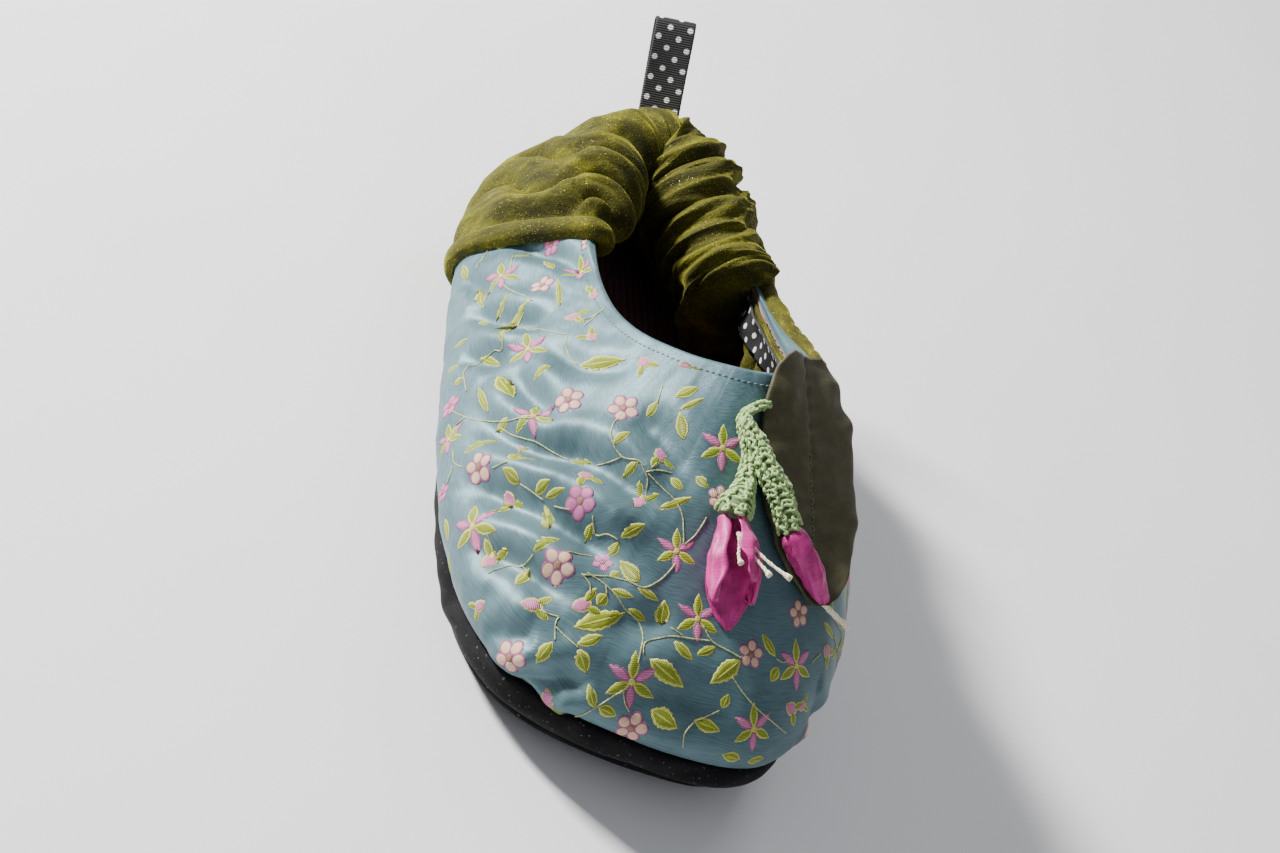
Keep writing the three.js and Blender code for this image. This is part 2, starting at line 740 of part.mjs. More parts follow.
// Bell of joined petals that opens away from its stem, hollow, with a notched lip
function makeOpenFlower(end) {
  const radius = through(openFlowerRows, 'radius');
  const start = end.middle.clone().addScaledVector(end.ahead, clearance);
  const side = end.normal.clone().cross(end.ahead).normalize();
  const out = end.ahead.clone().cross(side).normalize();
  const loopAt = (along, inward) =>
    Array.from({ length: petalCount * petalSides }, (_, index) => {
      const angle = (2 * Math.PI * (index + 0.5)) / (petalCount * petalSides);
      const lobe = Math.abs(Math.cos((petalCount * angle) / 2));
      const notch = petalNotch * along * (1 - lobe);
      const reach = openFlowerLength * (inward + along * (1 - inward) * (1 - notch));
      const wide = openFlowerRadius * radius(along) - inward * openFlowerLength;
      const high = wide * (1 - (1 - petalFlat) * along);
      const climb = Math.max(0, high - end.thick);
      return start
        .clone()
        .addScaledVector(end.ahead, reach)
        .addScaledVector(out, climb - high * Math.cos(angle))
        .addScaledVector(side, wide * Math.sin(angle));
    });
  const thin = petalThickness / openFlowerLength;
  const outside = bellStations.map((along) => loopAt(along, 0));
  const inside = bellStations.toReversed().map((along) => loopAt(along, thin));
  return { geometry: loft([...outside, ...inside]), start, out, side };
}

// Thin round stamen along a straight line with a thicker tip
function makeStamen(start, ahead, normal, length) {
  const loops = stamenRows.map(({ along, radius }) => {
    const middle = start.clone().addScaledVector(ahead, along * length);
    return ring(middle, ahead, normal, stamenRadius * radius);
  });
  return loft(loops);
}

const slipper = new THREE.Group();
slipper.add(piece('outsole', makeOutsole(), suede));
slipper.add(piece('padded_sole', makePaddedSole(), blackVelvet));
slipper.add(piece('footbed', makeFootbed(), lining));
slipper.add(piece('upper', makeUpper(), brocade));
slipper.add(piece('heel_piece', makeHeelPiece(), velvet));
slipper.add(piece('collar_facing', makeInsideStrip(facingRange, clearance, facingThickness), velvet));
const ribbonDepth = 2 * clearance + facingThickness;
slipper.add(piece('collar_ribbon', makeInsideStrip(ribbonRange, ribbonDepth, ribbonThickness), grosgrain));
slipper.add(piece('pull_loop', makePullLoop(), grosgrain));
slipper.add(piece('leaf', makeLeaf(), silk));

const openTrack = trackOver(openFlowerPlaces);
const openStem = layRound(openTrack, 0, openStemLength, openStemRows, stemRadius, clearance);
slipper.add(piece('open_flower_stem', openStem.geometry, crochet));
const openFlower = makeOpenFlower(openStem.end);
slipper.add(piece('open_flower', openFlower.geometry, fuchsia));
stamenSpread.forEach((spread, index) => {
  const { ahead, normal } = openStem.end;
  const direction = ahead
    .clone()
    .addScaledVector(openFlower.side, spread.sideways)
    .addScaledVector(openFlower.out, spread.outward)
    .normalize();
  const start = openFlower.start
    .clone()
    .addScaledVector(ahead, petalThickness + clearance)
    .addScaledVector(openFlower.side, spread.sideways * stamenRoot)
    .addScaledVector(openFlower.out, spread.outward * stamenRoot);
  const stamen = makeStamen(start, direction, normal, stamenLength * spread.length);
  slipper.add(piece(`stamen_${index + 1}`, stamen, cream));
});

const budTrack = trackOver(budPlaces);
const budStart = budStemLength + budGap;
const budStamenStart = budStart + budLength + budGap;
const overLeaf = leafThickness * (1 + leafWave) + 2 * clearance;
const budStem = layRound(budTrack, 0, budStemLength, budStemRows, stemRadius, overLeaf);
const bud = layRound(budTrack, budStart, budLength, budRows, budRadius, overLeaf);
const budStamen = layRound(
  budTrack,
  budStamenStart,
  budStamenLength,
  budStamenRows,
  stamenRadius,
  overLeaf,
);
slipper.add(piece('bud_stem', budStem.geometry, crochet));
slipper.add(piece('bud', bud.geometry, fuchsia));
slipper.add(piece('bud_stamen', budStamen.geometry, cream));

// The origin lies under the middle of the whole slipper, on the floor
const extent = new THREE.Box3().setFromObject(slipper, true);
const middle = extent.getCenter(new THREE.Vector3());
slipper.position.set(-middle.x, -middle.y, -extent.min.z);

export default slipper;
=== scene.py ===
"""Soft house slipper for the right foot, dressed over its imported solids.

Tables are in millimetres and meshes in metres. X runs from heel to toe, +Y is the inner side of
the foot, +Z is up, and the origin lies on the floor under the middle of the slipper.
"""

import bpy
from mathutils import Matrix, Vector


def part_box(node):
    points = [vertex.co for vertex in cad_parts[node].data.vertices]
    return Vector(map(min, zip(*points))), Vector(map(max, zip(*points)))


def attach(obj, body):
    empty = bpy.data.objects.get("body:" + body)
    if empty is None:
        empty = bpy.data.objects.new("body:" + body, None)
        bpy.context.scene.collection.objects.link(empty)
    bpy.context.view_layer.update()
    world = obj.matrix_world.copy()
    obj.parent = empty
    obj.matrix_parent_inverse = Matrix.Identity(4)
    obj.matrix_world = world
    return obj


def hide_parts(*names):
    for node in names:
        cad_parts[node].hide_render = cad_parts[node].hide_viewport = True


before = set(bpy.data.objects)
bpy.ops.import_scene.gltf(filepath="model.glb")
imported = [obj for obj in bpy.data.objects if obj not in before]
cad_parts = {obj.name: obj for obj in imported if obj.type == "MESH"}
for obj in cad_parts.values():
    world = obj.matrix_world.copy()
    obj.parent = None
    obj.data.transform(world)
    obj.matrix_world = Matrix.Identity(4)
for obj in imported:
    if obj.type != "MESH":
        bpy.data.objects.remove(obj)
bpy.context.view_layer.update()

import logging
import math
from dataclasses import dataclass, field
from enum import Enum

import bpy
import numpy as np
from mathutils import Matrix, Vector
from mathutils.kdtree import KDTree

LOG = logging.getLogger("slipper")
MM = 0.001
PER_METRE = (1000.0, 1000.0, 1000.0)
Array = np.ndarray
Material = bpy.types.Material
Piece = bpy.types.Object
Triple = tuple[float, float, float]
Places = tuple[tuple[float, float], ...]
Rows = tuple[tuple[float, ...], ...]
Grids = list[tuple[Array, Array, Array]]

# Sole outline from the heel back along the outer side, round the toe and back: share of the
# length, share of the width, and that width.
BALL, HEEL = 106.0, 88.0
OUTLINE = np.array([
    (0, -0.04, HEEL), (0.03, -0.34, HEEL), (0.1, -0.49, HEEL), (0.21, -0.54, HEEL),
    (0.34, -0.46, BALL), (0.48, -0.475, BALL), (0.62, -0.495, BALL), (0.75, -0.49, BALL),
    (0.86, -0.45, BALL), (0.94, -0.365, BALL), (0.98, -0.24, BALL), (0.997, -0.08, BALL),
    (1, 0.08, BALL), (0.99, 0.24, BALL), (0.955, 0.365, BALL), (0.89, 0.455, BALL),
    (0.79, 0.505, BALL), (0.67, 0.505, BALL), (0.54, 0.455, BALL), (0.4, 0.4, BALL),
    (0.25, 0.45, HEEL), (0.1, 0.39, HEEL), (0.03, 0.24, HEEL),
])

# Sections of the upper: turn round the shoe, then collar place along and across, collar height,
# lean, rise, reach and drop of the wall.
SECTIONS = np.array([
    (0, 0, -0.06, 0, 0.3, 0.3, 0.3, 0.4),
    (0.06, 0.1, -0.36, -0.02, 0.45, 0.3, 0.42, 0.34),
    (0.12, 0.3, -0.51, -0.06, 0.75, 0.26, 0.55, 0.28),
    (0.18, 0.52, -0.54, -0.08, 1, 0.22, 0.58, 0.26),
    (0.25, 0.7, -0.52, 0.06, 1.05, 0.22, 0.58, 0.26),
    (0.32, 0.84, -0.44, 0.32, 0.95, 0.22, 0.54, 0.3),
    (0.39, 0.945, -0.27, 0.66, 0.7, 0.22, 0.48, 0.38),
    (0.45, 0.99, -0.08, 0.88, 0.4, 0.22, 0.44, 0.44),
    (0.51, 1, 0.08, 0.99, 0.25, 0.22, 0.44, 0.46),
    (0.57, 0.975, 0.22, 1, 0.45, 0.24, 0.48, 0.4),
    (0.64, 0.9, 0.35, 0.86, 0.9, 0.28, 0.62, 0.28),
    (0.71, 0.79, 0.43, 0.56, 1.15, 0.32, 0.72, 0.22),
    (0.78, 0.64, 0.46, 0.26, 1.15, 0.32, 0.74, 0.2),
    (0.84, 0.46, 0.43, 0.06, 0.9, 0.3, 0.6, 0.26),
    (0.9, 0.26, 0.34, -0.02, 0.65, 0.28, 0.45, 0.34),
    (0.95, 0.09, 0.17, 0, 0.42, 0.3, 0.36, 0.38),
])


def hermite(ends: tuple[Array, Array], rates: tuple[Array, Array], share: Array) -> Array:
    """Cubic between two ends that leaves and arrives at given rates."""
    (start, end), (leave, arrive) = ends, rates
    bend = 3 * (end - start) - 2 * leave - arrive
    twist = 2 * (start - end) + leave + arrive
    return start + share * (leave + share * (bend + share * twist))


def catmull(points: Array, share: Array) -> Array:
    """Reads a uniform Catmull-Rom curve through points at shares from 0 to 1.

    Args:
        points: control points, one row each.
        share: where to read it.

    Returns:
        One row for each share.
    """
    last = len(points) - 1
    place = np.clip(share, 0, 1) * last
    index = np.minimum(place.astype(int), last - 1)
    rest = (place - index)[..., None]
    before = points[np.maximum(index - 1, 0)]
    start, end = points[index], points[index + 1]
    after = points[np.minimum(index + 2, last)]
    return hermite((start, end), ((end - before) / 2, (after - start) / 2), rest)


def through(rows: Array, along: Array) -> Array:
    """Reads a smooth curve through a table of (along, value) rows.

    Args:
        rows: the table, its along column rising from 0 to 1.
        along: where to read it.

    Returns:
        The values there.
    """
    along = np.asarray(along, float)
    last = len(rows) - 1
    after = np.clip(np.searchsorted(rows[:, 0], along), 1, last)
    before = after - 1
    part = (along - rows[before, 0]) / (rows[after, 0] - rows[before, 0])
    return catmull(rows[:, 1:], (before + part) / last)[..., 0]


def unit(vectors: Array) -> Array:
    """Vectors brought to length 1."""
    return vectors / np.maximum(np.linalg.norm(vectors, axis=-1, keepdims=True), 1e-12)


def dot(one: Array, other: Array) -> Array:
    """Inner products along the last axis, which is kept."""
    return np.sum(one * other, axis=-1, keepdims=True)


def walked(line: Array) -> Array:
    """Length walked along a line at each of its points."""
    return np.concatenate([[0], np.cumsum(np.linalg.norm(np.diff(line, axis=0), axis=1))])


def pairs(first: Array, second: Array) -> Array:
    """Places on the cloth from their two parts."""
    return np.stack(np.broadcast_arrays(first, second), axis=-1)


def shut(front: Array, back: Array, pinch: Array) -> Array:
    """Closes two faces of a sheet all round, its ends pinched onto one of them.

    Args:
        front: points of one face, its rows running across the sheet.
        back: points of the other face.
        pinch: the face whose two ends close the sheet.

    Returns:
        Rows that run round the sheet.
    """
    rows = np.concatenate([front, back[::-1], front[:1]])
    ends = [np.concatenate([pinch[:, end], pinch[::-1, end], pinch[:1, end]])[:, None] for end in (0, -1)]
    return np.concatenate([ends[0], rows, ends[1]], axis=1)


def smooth(value: Array, low: float, high: float) -> Array:
    """Smooth step from 0 at low to 1 at high."""
    share = np.clip((np.asarray(value, float) - low) / (high - low), 0, 1)
    return share * share * (3 - 2 * share)


def ripple(first: Array, second: Array, seed: int, waves: int = 7) -> Array:
    """Irregular smooth ripple from a sum of seeded plane waves.

    Args:
        first: first coordinate, in ripple lengths.
        second: second coordinate, in ripple lengths.
        seed: which ripple.
        waves: how many plane waves are summed.

    Returns:
        Values of about -1 to 1.
    """
    draw = np.random.default_rng(seed)
    total = np.zeros(np.broadcast(first, second).shape)
    for _ in range(waves):
        angle, length, phase = draw.uniform(0, math.tau), draw.uniform(0.6, 1.7), draw.uniform(0, math.tau)
        along = first * math.cos(angle) + second * math.sin(angle)
        total = total + np.sin(math.tau * along / length + phase)
    return total / math.sqrt(waves)


@dataclass(frozen=True)
class Crease:
    """A soft trough in the brocade, with a swell on both sides, along places on the wall."""

    places: Places
    width: float
    depth: float
    swell: float = 0.45


# Creases: places are (turn, height) on the wall
CREASES: tuple[Crease, ...] = (
    Crease(((0.295, 0.379), (0.313, 0.468), (0.3413, 0.544), (0.364, 0.604),
            (0.3853, 0.666), (0.4087, 0.695), (0.4303, 0.692), (0.4493, 0.69), (0.469, 0.685)), 3.6, 2.3),
    Crease(((0.337, 0.317), (0.3553, 0.406), (0.3763, 0.473),
            (0.398, 0.516), (0.4227, 0.544), (0.4397, 0.539), (0.4573, 0.53)), 3.8, 2.5),
    Crease(((0.2833, 0.599), (0.3117, 0.625), (0.3347, 0.652), (0.3597, 0.671)), 3, 1.5),
    Crease(((0.385, 0.835), (0.4107, 0.823), (0.4333, 0.802), (0.4533, 0.771), (0.4793, 0.728)), 4.2, 1.5),
    Crease(((0.3723, 0.265), (0.39, 0.341), (0.402, 0.377),
            (0.4133, 0.396), (0.4273, 0.403), (0.4423, 0.427)), 3.2, 1.8),
    Crease(((0.4077, 0.098), (0.4233, 0.21), (0.433, 0.258)), 2.6, 0.9),
    Crease(((0.4293, 0.007), (0.4423, 0.1), (0.4523, 0.186), (0.4637, 0.193)), 3.2, 1.7),
    Crease(((0.2063, 0.389), (0.2257, 0.539), (0.242, 0.659), (0.2547, 0.79)), 3.2, 1.8),
    Crease(((0.2473, 0.377), (0.264, 0.501), (0.2787, 0.578)), 2.8, 1.3),
    Crease(((0.269, 0.73), (0.2933, 0.761), (0.317, 0.797), (0.341, 0.859), (0.366, 0.924)), 2.8, 0.9),
    Crease(((0.1547, 0.573), (0.171, 0.733), (0.1877, 0.869), (0.2177, 0.969)), 2.8, 1.3),
    Crease(((0.1693, 0.322), (0.1893, 0.451), (0.2087, 0.537)), 2.6, 0.9),
    Crease(((0.4563, 0.422), (0.4723, 0.434), (0.4897, 0.482)), 3.5, 0.8),
    Crease(((0.479, 0.186), (0.4907, 0.253), (0.511, 0.27), (0.5377, 0.284)), 4, 0.7),
)

# Five-petalled figures: turn, height, 0 for cream or 1 for lilac, millimetres across
ROSETTES: Rows = (
    (0.2113, 0.752, 0, 8), (0.3457, 0.726, 0, 9), (0.3837, 0.816, 0, 9), (0.2823, 0.317, 1, 8),
    (0.168, 0.795, 1, 6), (0.1757, 1, 0, 6), (0.3443, 0.418, 0, 9), (0.4117, 0.594, 1, 8.5),
    (0.3333, 0.215, 1, 6), (0.423, 0.449, 0, 9.5), (0.4397, 0.527, 1, 6), (0.427, 0.131, 0, 9.5),
    (0.4883, 0.1, 0, 9), (0.5387, 0.444, 0, 8), (0.5723, 0.535, 0, 8), (0.496, 0.745, 0, 7),
)

# Six-pointed figures: turn, height, heading in degrees, millimetres across
STARS: Rows = (
    (0.149, 0.492, -172, 10), (0.191, 0.58, -179, 13), (0.199, 0.924, 175, 12),
    (0.275, 0.666, 175, 13), (0.338, 0.625, 161, 13), (0.305, 0.296, 176, 12),
    (0.373, 0.327, 160, 15), (0.477, 0.613, 106, 12), (0.4793, 0.274, 105, 15),
    (0.503, 0.489, 102, 13), (0.5697, 0.418, 84, 14), (0.5457, 0.243, 101, 13),
    (0.4837, 0.84, 103, 13),
)

# Buds: turn, height, heading, millimetres long
BUDS: Rows = (
    (0.148, 0.706, -11, 7), (0.24, 0.971, -21, 8), (0.261, 0.857, -116, 8), (0.295, 0.876, 19, 7),
    (0.366, 0.931, 159, 7.5), (0.4047, 0.99, -131, 7.5), (0.403, 0.647, 160, 8),
    (0.3707, 0.458, 176, 8), (0.436, 0.778, 124, 8), (0.4397, 0.685, -97, 8),
    (0.39, 0.325, -60, 8.5), (0.401, 0.169, 75, 6.5), (0.425, 0.334, -147, 8.5),
    (0.443, 0.413, -137, 8.5), (0.4507, 0.01, 118, 9), (0.6007, 0.403, 118, 7.5),
    (0.57, 0.296, 146, 8), (0.578, 0.298, -176, 6), (0.3463, 0.554, -163, 4),
    (0.6083, 0.525, 123, 6),
)

# Plain leaves: turn, height, heading, length and width in millimetres
LEAVES: Rows = (
    (0.161, 0.542, 129, 6.3, 3.2), (0.1747, 0.625, 119, 5.8, 1.8), (0.1963, 0.811, -157, 9.2, 2.8),
    (0.1743, 0.363, -170, 7.3, 3), (0.2117, 0.489, -168, 13.5, 3.6), (0.222, 0.456, 111, 2.8, 3.4),
    (0.223, 0.53, 119, 8.4, 2.2), (0.227, 0.706, -67, 13.5, 2.6), (0.2423, 0.807, 174, 13.5, 1.9),
    (0.2617, 0.58, 167, 8.3, 2.8), (0.2553, 0.465, 43, 9.5, 2.4), (0.2357, 0.334, 75, 6, 2),
    (0.251, 0.284, 72, 5.1, 2.2), (0.2683, 0.344, 75, 4.1, 2.2), (0.308, 0.728, -81, 6.5, 2.8),
    (0.3103, 0.492, -173, 11.2, 2.6), (0.4043, 0.835, 91, 5.2, 2.8), (0.3257, 0.554, -90, 5.4, 2.8),
    (0.328, 0.372, 102, 10.1, 3), (0.3083, 0.327, 167, 5.1, 2.6), (0.3607, 0.518, 150, 5.4, 3.2),
    (0.3607, 0.518, 100, 6.8, 2.8), (0.373, 0.511, -162, 6.5, 3), (0.384, 0.53, 76, 5, 2.8),
    (0.3907, 0.544, 61, 5.9, 2), (0.377, 0.647, 40, 8.3, 2.2), (0.4027, 0.735, 88, 6.1, 2.6),
    (0.425, 0.74, -110, 5.6, 2.6), (0.451, 0.749, -22, 4.7, 3), (0.453, 0.678, 44, 10.3, 2.6),
    (0.4457, 0.828, 124, 7.7, 3.4), (0.348, 0.2, -14, 7.2, 2.6), (0.4097, 0.432, 87, 8, 3.4),
    (0.4233, 0.582, -73, 4.8, 2.8), (0.4413, 0.585, 60, 7.9, 3.2), (0.4417, 0.578, -96, 4.4, 3),
    (0.4097, 0.401, -66, 6.6, 3.6), (0.3697, 0.069, 128, 6, 1.8), (0.45, 0.461, -103, 4, 3.6),
    (0.447, 0.501, 59, 3, 2.6), (0.4507, 0.477, 8, 6.2, 2.2), (0.462, 0.506, -7, 7, 2.2),
    (0.4393, 0.279, -96, 7.4, 3.6), (0.4503, 0.298, -43, 6.6, 4), (0.4487, 0.305, 48, 7.5, 3.2),
    (0.469, 0.126, 131, 6.3, 2.8), (0.47, 0.141, -5, 5.5, 3.4), (0.4633, 0.456, -10, 6.1, 2.4),
    (0.4923, 0.42, -25, 7.3, 3.2), (0.5173, 0.439, -143, 6.1, 2.6), (0.515, 0.22, -4, 8.1, 3.8),
    (0.5547, 0.444, 128, 7.5, 2.8), (0.557, 0.42, -125, 4.7, 3.6), (0.5277, 0.286, 80, 4, 2.8),
    (0.5963, 0.492, -57, 8.5, 2.2), (0.4167, 0.897, 58, 7.5, 3.4), (0.428, 0.876, 57, 8, 2),
    (0.5443, 0.107, 177, 6, 3.4), (0.549, 0.095, 13, 5.6, 3), (0.4693, 0.771, -23, 4.7, 3),
    (0.4843, 0.446, 104, 6.6, 4.2), (0.607, 0.372, 4, 5.7, 2.4),
)

# Large toothed leaves, with the same columns
SERRATED: Rows = (
    (0.286, 0.547, 17, 12.1, 5.2), (0.314, 0.797, 53, 14.4, 4.6), (0.4043, 0.506, 156, 7.7, 4.6),
    (0.4627, 0.518, 152, 7.7, 5), (0.4433, 0.344, 44, 14.9, 5.6), (0.4827, 0.353, -17, 12.2, 5.6),
    (0.493, 0.208, -15, 8.7, 6), (0.533, 0.427, -131, 11.2, 5.4),
)

# Vines: (turn, height) places on each
VINES: tuple[Places, ...] = (
    ((0.2, 0.59), (0.213, 0.64), (0.224, 0.69), (0.229, 0.71)),
    ((0.24, 0.65), (0.257, 0.71), (0.273, 0.78), (0.281, 0.81)),
    ((0.281, 0.81), (0.29, 0.79), (0.306, 0.79), (0.313, 0.8)),
    ((0.245, 0.61), (0.264, 0.58), (0.261, 0.54), (0.258, 0.47), (0.26, 0.42), (0.271, 0.41),
     (0.284, 0.42)),
    ((0.289, 0.34), (0.303, 0.41), (0.317, 0.5), (0.327, 0.55), (0.341, 0.62)),
    ((0.321, 0.51), (0.336, 0.55), (0.352, 0.6), (0.367, 0.63), (0.378, 0.65)),
    ((0.397, 0.69), (0.405, 0.71), (0.413, 0.73)),
    ((0.387, 0.8), (0.391, 0.77), (0.4, 0.74), (0.413, 0.73), (0.425, 0.74), (0.432, 0.73),
     (0.437, 0.72), (0.442, 0.69)),
    ((0.433, 0.73), (0.442, 0.75), (0.451, 0.76)),
    ((0.436, 0.76), (0.435, 0.74)),
    ((0.435, 0.73), (0.449, 0.72), (0.46, 0.71), (0.47, 0.69), (0.476, 0.66), (0.48, 0.63)),
    ((0.301, 0.4), (0.301, 0.34), (0.306, 0.33)),
    ((0.318, 0.33), (0.325, 0.32), (0.335, 0.36)),
    ((0.327, 0.31), (0.333, 0.26)),
    ((0.353, 0.46), (0.36, 0.51)),
    ((0.373, 0.51), (0.378, 0.52), (0.384, 0.53), (0.391, 0.54)),
    ((0.371, 0.45), (0.373, 0.41), (0.374, 0.38)),
    ((0.398, 0.55), (0.408, 0.57)),
    ((0.422, 0.59), (0.428, 0.57), (0.434, 0.58), (0.441, 0.58)),
    ((0.382, 0.36), (0.39, 0.34)),
    ((0.397, 0.29), (0.398, 0.33), (0.4, 0.36), (0.406, 0.39), (0.41, 0.43)),
    ((0.405, 0.39), (0.41, 0.39)),
    ((0.423, 0.49), (0.43, 0.52), (0.434, 0.53)),
    ((0.434, 0.47), (0.44, 0.46), (0.443, 0.44)),
    ((0.435, 0.47), (0.446, 0.5), (0.456, 0.51), (0.465, 0.51), (0.471, 0.53), (0.476, 0.56),
     (0.479, 0.59)),
    ((0.436, 0.48), (0.445, 0.48), (0.454, 0.47), (0.463, 0.45), (0.471, 0.44), (0.476, 0.41),
     (0.477, 0.37), (0.478, 0.33)),
    ((0.427, 0.33), (0.432, 0.34), (0.436, 0.35)),
    ((0.436, 0.35), (0.436, 0.33), (0.44, 0.28)),
    ((0.437, 0.32), (0.443, 0.31), (0.45, 0.3)),
    ((0.447, 0.48), (0.45, 0.46)),
    ((0.477, 0.24), (0.472, 0.18), (0.468, 0.11), (0.464, 0.01)),
    ((0.477, 0.24), (0.48, 0.2), (0.484, 0.17)),
    ((0.479, 0.36), (0.478, 0.39), (0.483, 0.41), (0.491, 0.43), (0.502, 0.44), (0.514, 0.45)),
    ((0.507, 0.48), (0.514, 0.45), (0.523, 0.44), (0.533, 0.43)),
    ((0.489, 0.45), (0.497, 0.44)),
    ((0.529, 0.38), (0.542, 0.32), (0.556, 0.27), (0.568, 0.22)),
    ((0.527, 0.28), (0.52, 0.24), (0.515, 0.21), (0.512, 0.16), (0.514, 0.1)),
    ((0.398, 0.91), (0.406, 0.87)),
    ((0.266, 1), (0.272, 0.94), (0.28, 0.87)),
    ((0.268, 0.86), (0.272, 0.91), (0.268, 0.97)),
    ((0.156, 0.5), (0.165, 0.47), (0.173, 0.44)),
    ((0.188, 0.62), (0.173, 0.63)),
    ((0.555, 0.44), (0.56, 0.43), (0.564, 0.44)),
    ((0.48, 0.63), (0.486, 0.66), (0.49, 0.7)),
    ((0.593, 0.42), (0.583, 0.41)),
    ((0.607, 0.49), (0.625, 0.39), (0.616, 0.36)),
)


@dataclass
class Wall:
    """The upper's outer face, which every cloth piece is laid on."""

    length: float = 228.0
    sole_height: float = 12.0
    clearance: float = 0.3
    toe_spring: float = 8.0
    spring_start: float = 0.72
    seam_inset: float = 1.0
    instep_height: float = 86.0
    heel_height: float = 61.0
    throat_reach: float = 149.0
    opening_back: float = 12.0
    opening_width: float = 56.0
    bulge: float = 22.0
    thickness: float = 2.2
    creases: tuple[Crease, ...] = CREASES
    opposite: float = 1.02
    mirrored_to: float = 0.44
    edge_line: Array = field(init=False)
    edge_share: Array = field(init=False)
    edge_length: float = field(init=False)
    table: Array = field(init=False)
    relief: Array = field(init=False)
    shift: Array = field(init=False)

    def __post_init__(self) -> None:
        """Samples the sole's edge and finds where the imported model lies."""
        self.edge_line = self._trace_edge()
        passed = walked(self.edge_line)
        self.edge_length = float(passed[-1])
        self.edge_share = passed / passed[-1]
        self.table = self._tabulate()
        self.relief = self._crease()
        turn = (np.arange(72)[None, :] + 0.5) / 72
        raw = self.bare(turn, np.linspace(0, 1, 10)[:, None]).reshape(-1, 3)
        low, high = (np.array(corner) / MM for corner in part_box("upper"))
        self.shift = (low + high) / 2 - (raw.min(0) + raw.max(0)) / 2
        self.shift[2] = 0.0

    def _trace_edge(self, fineness: int = 160) -> Array:
        """Closed centripetal curve through the outline, as a fine polyline."""
        control = np.column_stack([OUTLINE[:, 0] * self.length - self.length / 2,
                                   OUTLINE[:, 1] * OUTLINE[:, 2]])
        count = len(control)
        share = np.linspace(0, 1, fineness, endpoint=False)[:, None]
        spans = []
        for index in range(count):
            p0, p1, p2, p3 = (control[(index + step) % count] for step in (-1, 0, 1, 2))
            d0, d1, d2 = (math.sqrt(np.linalg.norm(b - a)) for a, b in ((p0, p1), (p1, p2), (p2, p3)))
            leave = d1 * ((p1 - p0) / d0 - (p2 - p0) / (d0 + d1) + (p2 - p1) / d1)
            arrive = d1 * ((p2 - p1) / d1 - (p3 - p1) / (d1 + d2) + (p3 - p2) / d2)
            spans.append(hermite((p1, p2), (leave, arrive), share))
        line = np.concatenate(spans)
        return np.concatenate([line, line[:1]])

    def lift(self, x: Array) -> Array:
        """Height by which the underside leaves the floor toward the toe."""
        start = self.spring_start * self.length - self.length / 2
        share = np.maximum(0, (x - start) / (self.length / 2 - start))
        return self.toe_spring * share * share

    def _tabulate(self, fineness: int = 12000) -> Array:
        """Edge place, edge normal and section columns at even turns, for quick reading."""
        turn = np.arange(fineness + 1) / fineness
        place, ahead, behind = (
            np.stack([np.interp(np.mod(turn + step, 1.0), self.edge_share, self.edge_line[:, axis])
                      for axis in (0, 1)], -1)
            for step in (0.0, 2e-4, -2e-4)
        )
        along = unit(ahead - behind)
        columns = [self._around(column, turn) for column in range(1, 8)]
        return np.column_stack([place, along[:, 1], -along[:, 0], *columns])

    def _read(self, turn: Array) -> Array:
        """All columns of the table at any turns."""
        last = len(self.table) - 1
        place = np.mod(turn, 1.0) * last
        index = np.minimum(place.astype(int), last - 1)
        rest = (place - index)[..., None]
        return self.table[index] * (1 - rest) + self.table[index + 1] * rest

    def edge(self, turn: Array, inset: Array) -> Array:
        """Point of the sole's edge, moved inward, on the floor plane."""
        columns = self._read(np.asarray(turn, float))
        flat = columns[..., 0:2] - columns[..., 2:4] * np.asarray(inset, float)[..., None]
        return np.concatenate([flat, np.zeros(flat.shape[:-1] + (1,))], axis=-1)

    @staticmethod
    def _around(column: int, turn: Array) -> Array:
        """Smooth closed curve through one column of the sections."""
        count = len(SECTIONS)
        rows = np.arange(-2, count + 2)
        keys = SECTIONS[rows % count, 0] + rows // count
        values = SECTIONS[rows % count, column]
        slopes = np.zeros(len(rows))
        slopes[1:-1] = (values[2:] - values[:-2]) / (keys[2:] - keys[:-2])
        after = np.searchsorted(keys, np.mod(turn, 1.0), side="right")
        before = after - 1
        span = keys[after] - keys[before]
        share = (np.mod(turn, 1.0) - keys[before]) / span
        return hermite((values[before], values[after]), (span * slopes[before], span * slopes[after]),
                       share)

    def bare(self, turn: Array, height: Array) -> Array:
        """Outer face without creases, from the sole at height 0 to the collar at height 1.

        Args:
            turn: 0 at the heel back, 0.25 on the outer side, 0.5 at the toe.
            height: share of the way up the wall.

        Returns:
            Points in millimetres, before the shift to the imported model's origin.
        """
        turn, height = np.broadcast_arrays(np.asarray(turn, float), np.asarray(height, float))
        columns = self._read(turn)
        normal = np.concatenate([columns[..., 2:4], np.zeros(turn.shape + (1,))], axis=-1)
        along, across, level, lean, rise, reach, drop = (columns[..., index] for index in range(4, 11))
        foot = np.concatenate([columns[..., 0:2] - columns[..., 2:4] * self.seam_inset,
                               np.zeros(turn.shape + (1,))], axis=-1)
        foot[..., 2] = self.sole_height + self.clearance + self.lift(foot[..., 0])
        collar = np.stack([
            self.opening_back - self.length / 2 + along * (self.throat_reach - self.opening_back),
            across * self.opening_width,
            self.heel_height + level * (self.instep_height - self.heel_height),
        ], axis=-1)
        climb = collar[..., 2] - foot[..., 2]
        low = foot + normal * (lean * self.bulge)[..., None]
        low[..., 2] += rise * climb
        high = collar + (foot - collar) * reach[..., None]
        high[..., 2] = collar[..., 2] - drop * climb
        share, rest = height[..., None], 1 - height[..., None]
        return foot * rest**3 + low * 3 * rest**2 * share + high * 3 * rest * share**2 + collar * share**3

